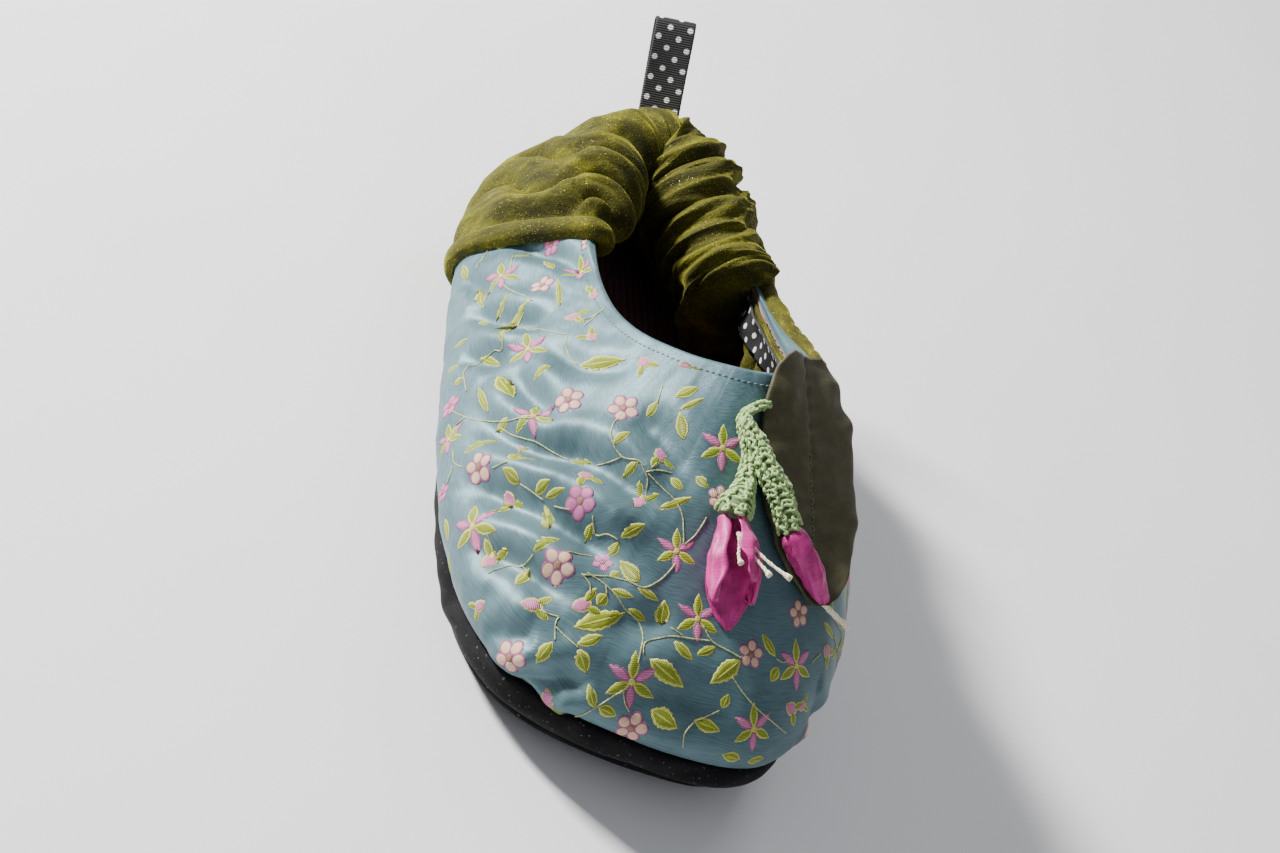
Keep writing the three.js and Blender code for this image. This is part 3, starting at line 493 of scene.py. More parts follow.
    def rates(self, turn: Array, height: Array) -> tuple[Array, Array, Array, Array]:
        """Point, rate along turn, rate along height and outward normal of the bare face."""
        step = 4e-4
        here = self.bare(turn, height)
        along = (self.bare(turn + step, height) - self.bare(turn - step, height)) / (2 * step)
        up = (self.bare(turn, height + step) - here) / step
        return here, along, up, unit(np.cross(along, up))

    def _crease(self, turns: int = 1500, heights: int = 180) -> Array:
        """Tabulates how far the creases and faint ripples move the face outward, in millimetres."""
        places = np.linspace(0, 1, turns + 1), np.linspace(0, 1, heights + 1)
        turn, height = np.meshgrid(*places, indexing="ij")
        points = self.bare(turn, height)
        moved = 0.22 * ripple(points[..., 0] / 17 + points[..., 2] / 30,
                              points[..., 1] / 15 + points[..., 2] / 22, 51)
        moved += 0.07 * ripple(points[..., 0] / 6, points[..., 1] / 6 + points[..., 2] / 7, 52)
        moved *= smooth(height, 0, 0.12) * smooth(1 - height, 0, 0.06)
        for crease in self.creases:
            for copy in self.mirrored(crease.places, self.mirrored_to):
                path = catmull(copy, np.linspace(0, 1, 26))
                line = self.bare(path[:, 0], path[:, 1])
                reach = 5.0 * crease.width
                near = np.all((points > line.min(0) - reach) & (points < line.max(0) + reach), axis=-1)
                moved[near] += self._trough(crease, line, points[near])
        return moved

    def mirrored(self, places: Places, limit: float) -> list[Array]:
        """A line of places and, if its turns stay below the limit, its copy on the other side."""
        line = np.array(places, float)
        if line[:, 0].max() >= limit:
            return [line]
        return [line, line * (-1, 1) + (self.opposite, 0)]

    @staticmethod
    def _trough(crease: Crease, line: Array, points: Array) -> Array:
        """Outward movement of points near one crease that runs along a line."""
        nearest, passed = np.full(len(points), 1e9), np.zeros(len(points))
        for index in range(len(line) - 1):
            start, ahead = line[index], line[index + 1] - line[index]
            share = np.clip(((points - start) @ ahead) / (ahead @ ahead), 0, 1)
            gap = np.linalg.norm(points - start - share[:, None] * ahead, axis=-1)
            closer = gap < nearest
            nearest = np.where(closer, gap, nearest)
            passed = np.where(closer, (index + share) / (len(line) - 1), passed)
        fade = smooth(passed, 0, 0.3) * smooth(1 - passed, 0, 0.3)
        width = 1.15 * crease.width
        trough = np.exp(-((nearest / width) ** 2))
        swell = np.exp(-(((nearest - 2.1 * width) / (1.1 * width)) ** 2))
        return 1.75 * crease.depth * fade * (crease.swell * swell - trough)

    def crease_depth(self, turn: Array, height: Array) -> Array:
        """Reads the tabulated creases at any places."""
        turns, heights = self.relief.shape[0] - 1, self.relief.shape[1] - 1
        column, row = np.mod(turn, 1.0) * turns, np.clip(height, 0, 1) * heights
        first, low = np.minimum(column.astype(int), turns - 1), np.minimum(row.astype(int), heights - 1)
        east, north = column - first, row - low
        below = self.relief[first, low] * (1 - east) + self.relief[first + 1, low] * east
        above = self.relief[first, low + 1] * (1 - east) + self.relief[first + 1, low + 1] * east
        return below * (1 - north) + above * north

    def laid(self, turn: Array, height: Array, proud: Array | float, creased: float = 1.0) -> Array:
        """Points that stand proud of the creased outer face.

        Args:
            turn: turns of the points.
            height: heights of the points.
            proud: millimetres outward, negative inside.
            creased: share of the creases that is followed.

        Returns:
            Points in millimetres, before the shift.
        """
        here, _, _, normal = self.rates(turn, height)
        out = np.broadcast_to(np.asarray(proud, float), here.shape[:-1])
        if creased:
            out = out + creased * self.crease_depth(*np.broadcast_arrays(turn, height))
        return here + normal * out[..., None]

    def round_collar(self, turn: Array, over: Array, distance: Array) -> Array:
        """Points round the collar edge; over is 0 outside and pi inside."""
        here, _, up, normal = self.rates(turn, np.ones(np.shape(turn)))
        sideways = -self.thickness / 2 + distance * np.cos(over)
        upward = distance * np.sin(over)
        return here + normal * sideways[..., None] + unit(up) * upward[..., None]

    def walk(self, turn: Array, height: Array, heading: Array, distance: Array,
             steps: int) -> tuple[Array, Array, Array]:
        """Walks over the bare wall from places, each in its heading and for its distance.

        Args:
            turn: turns of the starting places.
            height: heights of the starting places.
            heading: directions in space, one for each place.
            distance: millimetres of wall to walk.
            steps: how many straight steps that takes.

        Returns:
            The turns, heights and headings at the end.
        """
        step = distance / steps
        for _ in range(steps):
            _, along, up, normal = self.rates(turn, height)
            heading = unit(heading - dot(heading, normal) * normal)
            square, rise, mixed = (dot(a, b)[..., 0] for a, b in ((along, along), (up, up), (along, up)))
            spread = square * rise - mixed * mixed
            on_turn, on_height = dot(heading, along)[..., 0], dot(heading, up)[..., 0]
            turn = turn + step * (on_turn * rise - on_height * mixed) / spread
            height = height + step * (on_height * square - on_turn * mixed) / spread
        return turn, height, heading


class Motif(Enum):
    """Kinds of embroidered figure, by the name of their piece."""

    ROSETTE = "embroidered_rosettes"
    STAR = "embroidered_stars"
    BUD = "embroidered_buds"
    LEAF = "embroidered_leaves"
    SERRATED = "embroidered_toothed_leaves"


class Silk(Enum):
    """Embroidery silks, by the shade that stands for each."""

    CREAM = 0.05
    BEIGE = 0.2
    LILAC = 0.35
    PINK = 0.5
    GREEN = 0.65
    PALE = 0.8
    VINE = 0.95


class Bench:
    """Makes mesh pieces with Blender's own mesh tools."""

    def __init__(self, wall: Wall) -> None:
        """Keeps the wall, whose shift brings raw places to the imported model's origin."""
        self.wall = wall
        self.merge = 2e-6

    def deselect(self) -> None:
        """Leaves nothing selected, so that an operator acts on its own piece alone."""
        if bpy.context.object and bpy.context.object.mode != "OBJECT":
            bpy.ops.object.mode_set(mode="OBJECT")
        bpy.ops.object.select_all(action="DESELECT")

    def grid(self, name: str, points: Array, cloth: Array) -> Piece:
        """Lays a grid through points, merges what meets and turns its faces outward.

        Args:
            name: name of the piece.
            points: rows by columns by 3, in millimetres before the shift. A seam or a pole is
                given by points that coincide.
            cloth: rows by columns by 2, places on the cloth in millimetres.

        Returns:
            The piece, at the origin.
        """
        rows, columns = points.shape[:2]
        self.deselect()
        bpy.ops.mesh.primitive_grid_add(
            x_subdivisions=columns - 1, y_subdivisions=rows - 1, size=1, calc_uvs=True)
        made = bpy.context.object
        made.name = name
        made.data.name = name
        placed = (points + self.wall.shift) * MM
        made.data.vertices.foreach_set("co", placed.astype(np.float32).ravel())
        layer = made.data.uv_layers[0]
        layer.name = "cloth"
        self._dye(layer, cloth)
        made.data.update()
        return self._close(made)

    def _close(self, made: Piece) -> Piece:
        """Merges what meets, turns the faces outward and shades them smooth."""
        bpy.ops.object.mode_set(mode="EDIT")
        bpy.ops.mesh.select_all(action="SELECT")
        bpy.ops.mesh.remove_doubles(threshold=self.merge)
        bpy.ops.mesh.normals_make_consistent(inside=False)
        bpy.ops.object.mode_set(mode="OBJECT")
        bpy.ops.object.shade_smooth()
        return made

    def _dye(self, layer: bpy.types.MeshUVLoopLayer, cloth: Array) -> None:
        """Writes each corner's place on the cloth."""
        mesh = layer.id_data
        corners = np.zeros(len(mesh.loops), np.int32)
        mesh.loops.foreach_get("vertex_index", corners)
        layer.data.foreach_set("uv", (cloth.reshape(-1, 2) * MM)[corners].astype(np.float32).ravel())

    def tube(self, name: str, path: Array, radius: Array, sides: int) -> Piece:
        """Round solid along a path, closed at both ends.

        Args:
            name: name of the piece.
            path: points along the middle, in millimetres.
            radius: radius at each point.
            sides: how many sides it has.

        Returns:
            The piece.
        """
        loops, cloth = self.tube_points(path, radius, sides)
        return self.grid(name, loops, cloth)

    def tube_points(self, path: Array, radius: Array, sides: int) -> tuple[Array, Array]:
        """Grid points and cloth places of a round solid along a path."""
        radius = np.broadcast_to(np.asarray(radius, float), (len(path),))
        side, out = carry_frame(path)
        angle = np.linspace(0, math.tau, sides + 1)
        sideways, outward = np.cos(angle)[None, :, None], np.sin(angle)[None, :, None]
        ring = sideways * side[:, None, :] + outward * out[:, None, :]
        loops = path[:, None, :] + ring * radius[:, None, None]
        loops = np.concatenate([np.repeat(path[:1, None], sides + 1, 1), loops,
                                np.repeat(path[-1:, None], sides + 1, 1)])
        passed = walked(path)
        passed = np.concatenate([[0], passed, passed[-1:]])
        round_place = np.broadcast_to(angle / math.tau, (len(passed), sides + 1))
        cloth = np.stack([round_place * math.tau * radius.mean(), np.repeat(passed[:, None], sides + 1, 1)],
                         axis=-1)
        return loops, cloth

    def join(self, name: str, parts: Grids) -> Piece:
        """One mesh of many small grids, such as stitches, petals or rounds of yarn.

        Args:
            name: name of the piece.
            parts: for each grid its points, its cloth places and its shades.

        Returns:
            The piece.
        """
        vertices, faces, cloth, shade, start = [], [], [], [], 0
        for points, places, tone in parts:
            rows, columns = points.shape[:2]
            index = start + np.arange(rows * columns).reshape(rows, columns)
            corners = index[:-1, :-1], index[:-1, 1:], index[1:, 1:], index[1:, :-1]
            faces.append(np.stack(corners, -1).reshape(-1, 4))
            vertices.append(points.reshape(-1, 3))
            cloth.append(places.reshape(-1, 2))
            shade.append(np.broadcast_to(np.asarray(tone, float), (rows * columns,)))
            start += rows * columns
        mesh = bpy.data.meshes.new(name)
        placed = (np.concatenate(vertices) + self.wall.shift) * MM
        mesh.from_pydata(placed.tolist(), [], np.concatenate(faces).tolist())
        self._dye(mesh.uv_layers.new(name="cloth"), np.concatenate(cloth))
        tone = mesh.attributes.new("shade", "FLOAT", "POINT")
        tone.data.foreach_set("value", np.concatenate(shade).astype(np.float32))
        made = bpy.data.objects.new(name, mesh)
        bpy.context.collection.objects.link(made)
        self.deselect()
        made.select_set(True)
        bpy.context.view_layer.objects.active = made
        return self._close(made)

    def finish(self, made: Piece, material: Material, slot: str, *nodes: str) -> None:
        """Dresses a piece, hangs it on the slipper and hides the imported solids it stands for."""
        made.data.materials.clear()
        made.data.materials.append(material)
        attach(made, "root")
        if nodes:
            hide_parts(*nodes)
        LOG.info("%s: %d faces", made.name, len(made.data.polygons))


def carry_frame(path: Array) -> tuple[Array, Array]:
    """Two unit vectors across a path at each point, carried along it without twist."""
    ahead = unit(np.gradient(path, axis=0))
    side = np.zeros_like(path)
    start = np.cross(ahead[0], (0.0, 0.0, 1.0))
    if np.linalg.norm(start) < 0.1:
        start = np.cross(ahead[0], (1.0, 0.0, 0.0))
    side[0] = unit(start)
    for index in range(1, len(path)):
        moved = side[index - 1] - np.dot(side[index - 1], ahead[index]) * ahead[index]
        side[index] = unit(moved)
    return side, np.cross(side, ahead)


@dataclass
class Signal:
    """One socket of a finish, on which sums and products add Math nodes."""

    desk: "Desk"
    socket: bpy.types.NodeSocket

    def __add__(self, other: "Signal | float") -> "Signal":
        """Sum."""
        return self.desk.maths("ADD", self, other)

    def __radd__(self, other: float) -> "Signal":
        """Sum, number first."""
        return self.desk.maths("ADD", other, self)

    def __sub__(self, other: "Signal | float") -> "Signal":
        """Difference."""
        return self.desk.maths("SUBTRACT", self, other)

    def __rsub__(self, other: float) -> "Signal":
        """Difference, number first."""
        return self.desk.maths("SUBTRACT", other, self)

    def __mul__(self, other: "Signal | float") -> "Signal":
        """Product."""
        return self.desk.maths("MULTIPLY", self, other)

    def __rmul__(self, other: float) -> "Signal":
        """Product, number first."""
        return self.desk.maths("MULTIPLY", other, self)


class Desk:
    """The node desk of one finish."""

    def __init__(self, name: str) -> None:
        """Starts a material with its plain shader."""
        self.material = bpy.data.materials.new(name)
        self.material.use_nodes = True
        self.tree = self.material.node_tree
        self.shader = self.tree.nodes["Principled BSDF"]

    def node(self, kind: str, settings: dict | None = None, inputs: dict | None = None,
             output: int | str = 0) -> Signal:
        """Adds a node.

        Args:
            kind: node type, without its ShaderNode prefix.
            settings: its properties.
            inputs: values or signals by socket name or number.
            output: which of its outputs is returned.

        Returns:
            The signal of that output.
        """
        made = self.tree.nodes.new("ShaderNode" + kind)
        for key, value in (settings or {}).items():
            setattr(made, key, value)
        for key, value in (inputs or {}).items():
            self.feed(made.inputs[key], value)
        return Signal(self, made.outputs[output])

    def feed(self, socket: bpy.types.NodeSocket, value: "Signal | float | tuple") -> None:
        """Links a signal to a socket, or sets its value."""
        if isinstance(value, Signal):
            self.tree.links.new(value.socket, socket)
        elif isinstance(value, tuple) and len(value) == 3 and socket.type == "RGBA":
            socket.default_value = (*value, 1.0)
        else:
            socket.default_value = value

    def maths(self, operation: str, *values: "Signal | float") -> Signal:
        """Math node on one to three values."""
        return self.node("Math", {"operation": operation}, dict(enumerate(values)))

    def between(self, value: Signal, low: float, high: float) -> Signal:
        """Smooth mask from 0 at low to 1 at high."""
        settings = {"interpolation_type": "SMOOTHSTEP"}
        inputs = {"Value": value, "From Min": low, "From Max": high, "To Min": 0.0, "To Max": 1.0}
        return self.node("MapRange", settings, inputs)

    def mix(self, share: "Signal | float", one: "Signal | tuple", other: "Signal | tuple") -> Signal:
        """Colour between two colours."""
        return self.node("Mix", {"data_type": "RGBA"}, {0: share, 6: one, 7: other}, 2)

    def place(self, scale: Triple = PER_METRE) -> Signal:
        """Object coordinates, in millimetres unless scaled otherwise."""
        where = self.node("TexCoord", None, None, "Object")
        return self.node("Mapping", None, {"Vector": where, "Scale": scale})

    def cloth(self, across: float = 1000.0, along: float = 1000.0) -> Signal:
        """Places on the cloth, in millimetres unless scaled otherwise."""
        where = self.node("UVMap", {"uv_map": "cloth"})
        return self.node("Mapping", None, {"Vector": where, "Scale": (across, along, 1.0)})

    def split(self, vector: Signal) -> tuple[Signal, Signal]:
        """First two parts of a vector."""
        first = self.node("SeparateXYZ", None, {0: vector})
        return first, Signal(self, first.socket.node.outputs[1])

    def noise(self, vector: Signal, scale: float, detail: float = 2.0, rough: float = 0.5) -> Signal:
        """Noise of about 0 to 1."""
        inputs = {"Vector": vector, "Scale": scale, "Detail": detail, "Roughness": rough}
        return self.node("TexNoise", None, inputs)

    def shade(self) -> Signal:
        """The piece's own shade attribute."""
        return self.node("Attribute", {"attribute_name": "shade"}, None, "Fac")

    def bump(self, height: Signal, distance: float, strength: float = 1.0,
             below: Signal | None = None) -> Signal:
        """Normal bumped by a height, a distance in metres."""
        inputs = {"Height": height, "Distance": distance, "Strength": strength}
        if below is not None:
            inputs["Normal"] = below
        return self.node("Bump", None, inputs)

    def dress(self, **sockets: "Signal | float | tuple") -> Material:
        """Feeds the shader's sockets, named with _ for a blank, and returns the material."""
        for name, value in sockets.items():
            self.feed(self.shader.inputs[name.replace("_", " ")], value)
        return self.material


@dataclass(frozen=True)
class Brocade:
    """Blue-grey satin ground of the upper."""

    light: Triple = (0.088, 0.165, 0.19)
    dark: Triple = (0.035, 0.08, 0.096)
    roughness: float = 0.47

    def make(self) -> Material:
        """Satin with fine weft streaks, a faint weave and clouded colour."""
        desk = Desk("brocade_satin")
        cloth = desk.cloth()
        streak = desk.noise(desk.cloth(160.0, 2600.0), 1.0, 3.0)
        cloud = desk.noise(cloth, 0.045, 3.0)
        across, along = desk.split(cloth)
        weave = desk.maths("SINE", along * 14.0 + across * 3.0)
        tone = desk.between(cloud * 0.5 + streak * 0.5, 0.32, 0.68)
        colour = desk.mix(tone, self.dark, self.light)
        rough = self.roughness + 0.14 * streak - 0.05 * cloud
        relief = streak * 0.8 + weave * 0.08
        return desk.dress(Base_Color=colour, Roughness=rough, Specular_IOR_Level=0.8,
                          Specular_Tint=(0.8, 0.95, 1.0), Metallic=0.3, Sheen_Weight=0.1,
                          Sheen_Roughness=0.4, Normal=desk.bump(relief, 0.00009))


@dataclass(frozen=True)
class SatinStitch:
    """Embroidery silk in seven colours, picked by the shade attribute."""

    colours: tuple[tuple[Silk, Triple], ...] = (
        (Silk.CREAM, (0.62, 0.42, 0.29)),
        (Silk.BEIGE, (0.27, 0.15, 0.09)),
        (Silk.LILAC, (0.3, 0.085, 0.2)),
        (Silk.PINK, (0.5, 0.15, 0.31)),
        (Silk.GREEN, (0.2, 0.255, 0.008)),
        (Silk.PALE, (0.5, 0.5, 0.1)),
        (Silk.VINE, (0.42, 0.44, 0.2)),
    )
    pitch: float = 0.42

    def make(self) -> Material:
        """Close parallel stitches with a silky shine."""
        desk = Desk("satin_stitch")
        across, along = desk.split(desk.cloth())
        thread = desk.maths("SINE", across * (math.tau / self.pitch) + along * 1.4) * 0.5 + 0.5
        dye = desk.noise(desk.place(), 0.8, 2.0)
        shade = desk.shade()
        colour: Signal | tuple = self.colours[0][1]
        for (before, _), (silk, tint) in zip(self.colours, self.colours[1:]):
            middle = (before.value + silk.value) / 2
            colour = desk.mix(desk.between(shade, middle - 0.01, middle + 0.01), colour, tint)
        tone = desk.between(thread * 0.5 + dye * 0.5, 0.2, 0.8)
        # Painted sheen and dye: the colour is brighter along each thread and darker between threads, and
        # varied by uneven dye
        sheen_and_dye = desk.node("HueSaturation", None, {"Value": 0.72 + 0.5 * tone, "Color": colour})
        return desk.dress(Base_Color=sheen_and_dye, Roughness=0.55 - 0.1 * thread, Specular_IOR_Level=0.35,
                          Normal=desk.bump(thread, 0.00012, 0.8))


@dataclass(frozen=True)
class CrushedVelvet:
    """Olive velvet with a crushed pile and fine glitter; the pile's sheen is painted into its colour as
    lighter and darker patches.
    """

    # deep is painted shade and lit is painted highlight, with ground between them
    deep: Triple = (0.018, 0.018, 0.0004)
    ground: Triple = (0.06, 0.058, 0.001)
    lit: Triple = (0.185, 0.178, 0.004)
    glitter: Triple = (1.0, 0.88, 0.2)
    speck: float = 0.17

    def make(self) -> Material:
        """Painted highlight and painted shade in patches brushed along the folds, pile grain, and bright
        specks.
        """
        desk = Desk("crushed_velvet")
        where = desk.place()
        patch = desk.noise(desk.cloth(170.0, 60.0), 1.0, 4.0, 0.6)
        pile = desk.noise(where, 2.1, 2.0)
        painted_sheen = patch * 0.7 + pile * 0.3
        # Painted shade and painted highlight: patches stretched along the folds darken toward deep and
        # lighten toward lit, standing in for the pile's sheen
        ground = desk.mix(desk.between(painted_sheen, 0.36, 0.56), self.deep, self.ground)
        ground = desk.mix(desk.between(painted_sheen, 0.5, 0.72), ground, self.lit)
        cells = desk.node("TexVoronoi", {"feature": "F1"}, {"Vector": where, "Scale": 1.7}, "Distance")
        chosen = desk.noise(where, 1.7, 0.0)
        speck = (1.0 - desk.between(cells, self.speck * 0.5, self.speck)) * desk.between(chosen, 0.5, 0.56)
        colour = desk.mix(speck, ground, self.glitter)
        relief = patch * 1.6 + pile * 0.4
        return desk.dress(Base_Color=colour, Roughness=0.85 - 0.55 * speck, Sheen_Weight=0.55,
                          Sheen_Roughness=0.3, Sheen_Tint=(0.5, 0.48, 0.05), Metallic=0.6 * speck,
                          Specular_IOR_Level=0.25, Normal=desk.bump(relief, 0.0008, 0.8))


@dataclass(frozen=True)
class BlackVelvet:
    """Black pile cloth of the sole's padding."""

    name: str = "sole_velvet"
    dark: Triple = (0.004, 0.004, 0.005)
    lit: Triple = (0.011, 0.011, 0.012)
    sheen: float = 0.04
    grain: float = 1.6

    def make(self) -> Material:
        """Nap in patches with a fine grain and a little dust."""
        desk = Desk(self.name)
        where = desk.place()
        patch = desk.noise(where, 0.12, 3.0)
        pile = desk.noise(where, self.grain, 2.0)
        dust = desk.between(desk.noise(where, 1.1, 0.0), 0.76, 0.8)
        colour = desk.mix(desk.between(patch * 0.7 + pile * 0.3, 0.35, 0.65), self.dark, self.lit)
        colour = desk.mix(dust * 0.5, colour, (0.12, 0.12, 0.12))
        return desk.dress(Base_Color=colour, Roughness=0.95 - 0.1 * patch, Sheen_Weight=self.sheen,
                          Sheen_Roughness=0.4, Specular_IOR_Level=0.12,
                          Normal=desk.bump(patch + pile * 0.6, 0.00025, 0.6))


@dataclass(frozen=True)
class RibbedLining:
    """Dark burgundy cloth with fine ribs from heel to toe, or laid along the wall."""

    # Both colours are lighter than the cloth's own: painted light that keeps the throat, where the lamps
    # reach little, from going black
    dark: Triple = (0.09, 0.028, 0.036)
    lit: Triple = (0.28, 0.085, 0.105)
    ribs_a_millimetre: float = 0.42
    on_wall: bool = False

    def make(self) -> Material:
        """Ribs lighter on their tops and darker between them, and slubs along them."""
        desk = Desk("wall_lining" if self.on_wall else "ribbed_lining")
        if self.on_wall:
            place = desk.split(desk.cloth())[1]
        else:
            place = desk.node("SeparateXYZ", None, {0: desk.place()}, 1)
        rib = desk.maths("SINE", place * (math.tau * self.ribs_a_millimetre)) * 0.5 + 0.5
        slub = desk.noise(desk.place((120.0, 1400.0, 1000.0)), 1.0, 3.0)
        colour = desk.mix(rib * 0.6 + slub * 0.4, self.dark, self.lit)
        return desk.dress(Base_Color=colour, Roughness=0.85 - 0.15 * slub, Sheen_Weight=0.3,
                          Normal=desk.bump(rib + slub * 0.4, 0.0003, 0.8))


@dataclass(frozen=True)
class DottedGrosgrain:
    """Black ribbed ribbon with white dots in four staggered rows."""

    width: float = 12.6
    dot: float = 0.92
    ground: Triple = (0.006, 0.006, 0.007)
    paint: Triple = (0.82, 0.82, 0.8)

    def make(self) -> Material:
        """Cloth places run across the ribbon first and along it second."""
        desk = Desk("dotted_grosgrain")
        across, along = desk.split(desk.cloth())
        pitch = self.width / 4
        masks = []
        for step in (0.0, 0.5):
            column = desk.maths("FRACT", across * (0.5 / pitch) + (0.25 + step)) - 0.5
            row = desk.maths("FRACT", along * (0.5 / pitch) + step) - 0.5
            gap = desk.maths("SQRT", column * column + row * row) * (2 * pitch)
            masks.append(1.0 - desk.between(gap, self.dot * 0.86, self.dot * 1.06))
        dots = desk.maths("MAXIMUM", *masks)
        rib = desk.maths("SINE", along * (math.tau / 0.7)) * 0.5 + 0.5
        fibre = desk.noise(desk.cloth(2000.0, 9000.0), 1.0, 2.0)
        ground = desk.mix(rib * 0.5 + fibre * 0.5, self.ground, (0.02, 0.02, 0.022))
        paint = desk.mix(rib * 0.3 + fibre * 0.3, self.paint, (0.6, 0.6, 0.6))
        return desk.dress(Base_Color=desk.mix(dots, ground, paint),
                          Roughness=0.62 - 0.12 * dots + 0.1 * fibre,
                          Normal=desk.bump(rib + dots * 0.3, 0.0002, 0.8))


@dataclass(frozen=True)
class SlubSilk:
    """Silk of the leaf and of the petals."""

    name: str
    dark: Triple
    lit: Triple
    roughness: float = 0.5
    sheen: float = 0.4
    slub: float = 0.6

    def make(self) -> Material:
        """Slubs along the thread and soft crumples."""
        desk = Desk(self.name)
        weft = desk.noise(desk.cloth(220.0, 3000.0), 1.0, 3.0, 0.6)
        warp = desk.noise(desk.cloth(2600.0, 300.0), 1.0, 2.0)
        crumple = desk.noise(desk.cloth(), 0.22, 4.0, 0.6)
        tone = desk.between(weft * 0.35 + warp * 0.15 + crumple * 0.5, 0.3, 0.68)
        relief = weft * self.slub + warp * 0.3 + crumple * 1.2
        return desk.dress(Base_Color=desk.mix(tone, self.dark, self.lit),
                          Roughness=self.roughness + 0.15 * weft,
                          Sheen_Weight=self.sheen, Sheen_Roughness=0.35,
                          Normal=desk.bump(relief, 0.00018, 0.7))


@dataclass(frozen=True)
class Thread:
    """Twisted thread or yarn, whose tone follows each strand."""

    name: str
    dark: Triple
    lit: Triple
    twist: float = 5.0
    roughness: float = 0.6
    depth: float = 0.0002
    paints_core_shade: bool = False

    def make(self) -> Material:
        """Slanting plies from the cloth places, with uneven dye, darkened by the shade attribute when
        asked: painted shade on the crochet's core.
        """
        desk = Desk(self.name)
        across, along = desk.split(desk.cloth())
        ply = desk.maths("SINE", along * self.twist + across * self.twist * 0.8) * 0.5 + 0.5
        dye = desk.noise(desk.place(), 0.35, 3.0)
        tone = desk.between(ply * 0.45 + dye * 0.55, 0.25, 0.75)
        # Painted shade: the shade attribute scales the tone, so a core with shade 0.1 comes out dark as if
        # in shadow between the yarn
        if self.paints_core_shade:
            tone = (tone * 0.4 + 0.6) * desk.shade()
        return desk.dress(Base_Color=desk.mix(tone, self.dark, self.lit),
                          Roughness=self.roughness + 0.15 * dye,
                          Sheen_Weight=0.3, Normal=desk.bump(ply, self.depth, 0.6))


# Rim of the padded band: share of its height, and inset from the edge
RIM = np.array([
    (0, 6.5), (0.02, 4.6), (0.05, 3.2), (0.13, 1.9), (0.24, 1), (0.38, 0.3), (0.52, 0),
    (0.67, 0.05), (0.82, 0.3), (0.9, 0.7), (0.97, 1.4), (0.995, 2.3), (1, 3.4),
])


@dataclass
class Sole:
    """Outsole, padded band and footbed."""

    bench: Bench
    outsole_thickness: float = 2.4
    outsole_inset: float = 5.0
    footbed_thickness: float = 3.0
    turns: int = 360

    def _loop(self, inset: float, height: float, sway: float = 0.0, seed: int = 3) -> Array:
        """One ring of points at an inset from the edge and a height over the floor."""
        turn = np.linspace(0, 1, self.turns + 1)
        angle = turn * math.tau
        wobble = sway * ripple(np.cos(angle) * 5, np.sin(angle) * 5 + height * 0.15, seed)
        points = self.bench.wall.edge(turn, inset + wobble)
        points[:, 2] = height + self.bench.wall.lift(points[:, 0])
        points[-1] = points[0]
        return points

    def _stack(self, name: str, rings: list[Array]) -> Piece:
        """Solid through rings, with flat faces drawn in to the middle line of the foot."""
        caps = []
        forward = (1 - np.cos(np.linspace(0, math.tau, self.turns + 1))) / 2
        for ring, order in ((rings[0], (0.0, 0.25, 0.5, 0.75)), (rings[-1], (0.75, 0.5, 0.25, 0.0))):
            middle = ring[:-1].mean(0)
            ends = middle[0] + 0.55 * (ring[[0, self.turns // 2], 0] - middle[0])
            spine = np.repeat(middle[None], len(ring), 0)
            spine[:, 0] = ends[0] + (ends[1] - ends[0]) * (forward + forward[::-1]) / 2
            lift = self.bench.wall.lift
            spine[:, 2] = ring[:, 2].min() + lift(spine[:, 0]) - lift(ring[:, 0]).min()
            caps.append([spine + (ring - spine) * share for share in order])
        rows = np.stack([*caps[0], *rings, *caps[1]])
        passed = np.linspace(0, self.bench.wall.edge_length, rows.shape[1])
        depth = np.arange(len(rows)) * 2.0
        cloth = pairs(passed[None, :], depth[:, None])
        return self.bench.grid(name, rows, cloth)

    def build(self, suede: Material, velvet: Material, lining: Material) -> None:
        """Makes the three layers from the floor up."""
        wall, thick = self.bench.wall, self.outsole_thickness
        bevel = thick / 4
        inset = self.outsole_inset
        rings = [self._loop(inset + bevel, 0), self._loop(inset + bevel * 0.4, bevel * 0.2),
                 self._loop(inset, bevel),
                 self._loop(inset, thick)]
        self.bench.finish(self._stack("outsole_suede", rings), suede, "outsole_suede", "outsole")

        bottom = thick + wall.clearance
        rings = [self._loop(inset, bottom + share * (wall.sole_height - bottom), 0.3)
                 for share, inset in RIM]
        band = self._stack("padded_sole_band", rings)
        self.bench.finish(band, velvet, "sole_velvet", "padded_sole")

        inset = wall.seam_inset + wall.thickness + wall.clearance
        bottom = wall.sole_height + wall.clearance
        top = bottom + self.footbed_thickness
        rings = [self._loop(inset + 0.6, bottom), self._loop(inset, bottom + 0.6),
                 self._loop(inset, top - 0.8),
                 self._loop(inset + 0.4, top - 0.15), self._loop(inset + 1.5, top)]
        pad = self._stack("footbed_pad", rings)
        self.bench.finish(pad, lining, "lining", "footbed")


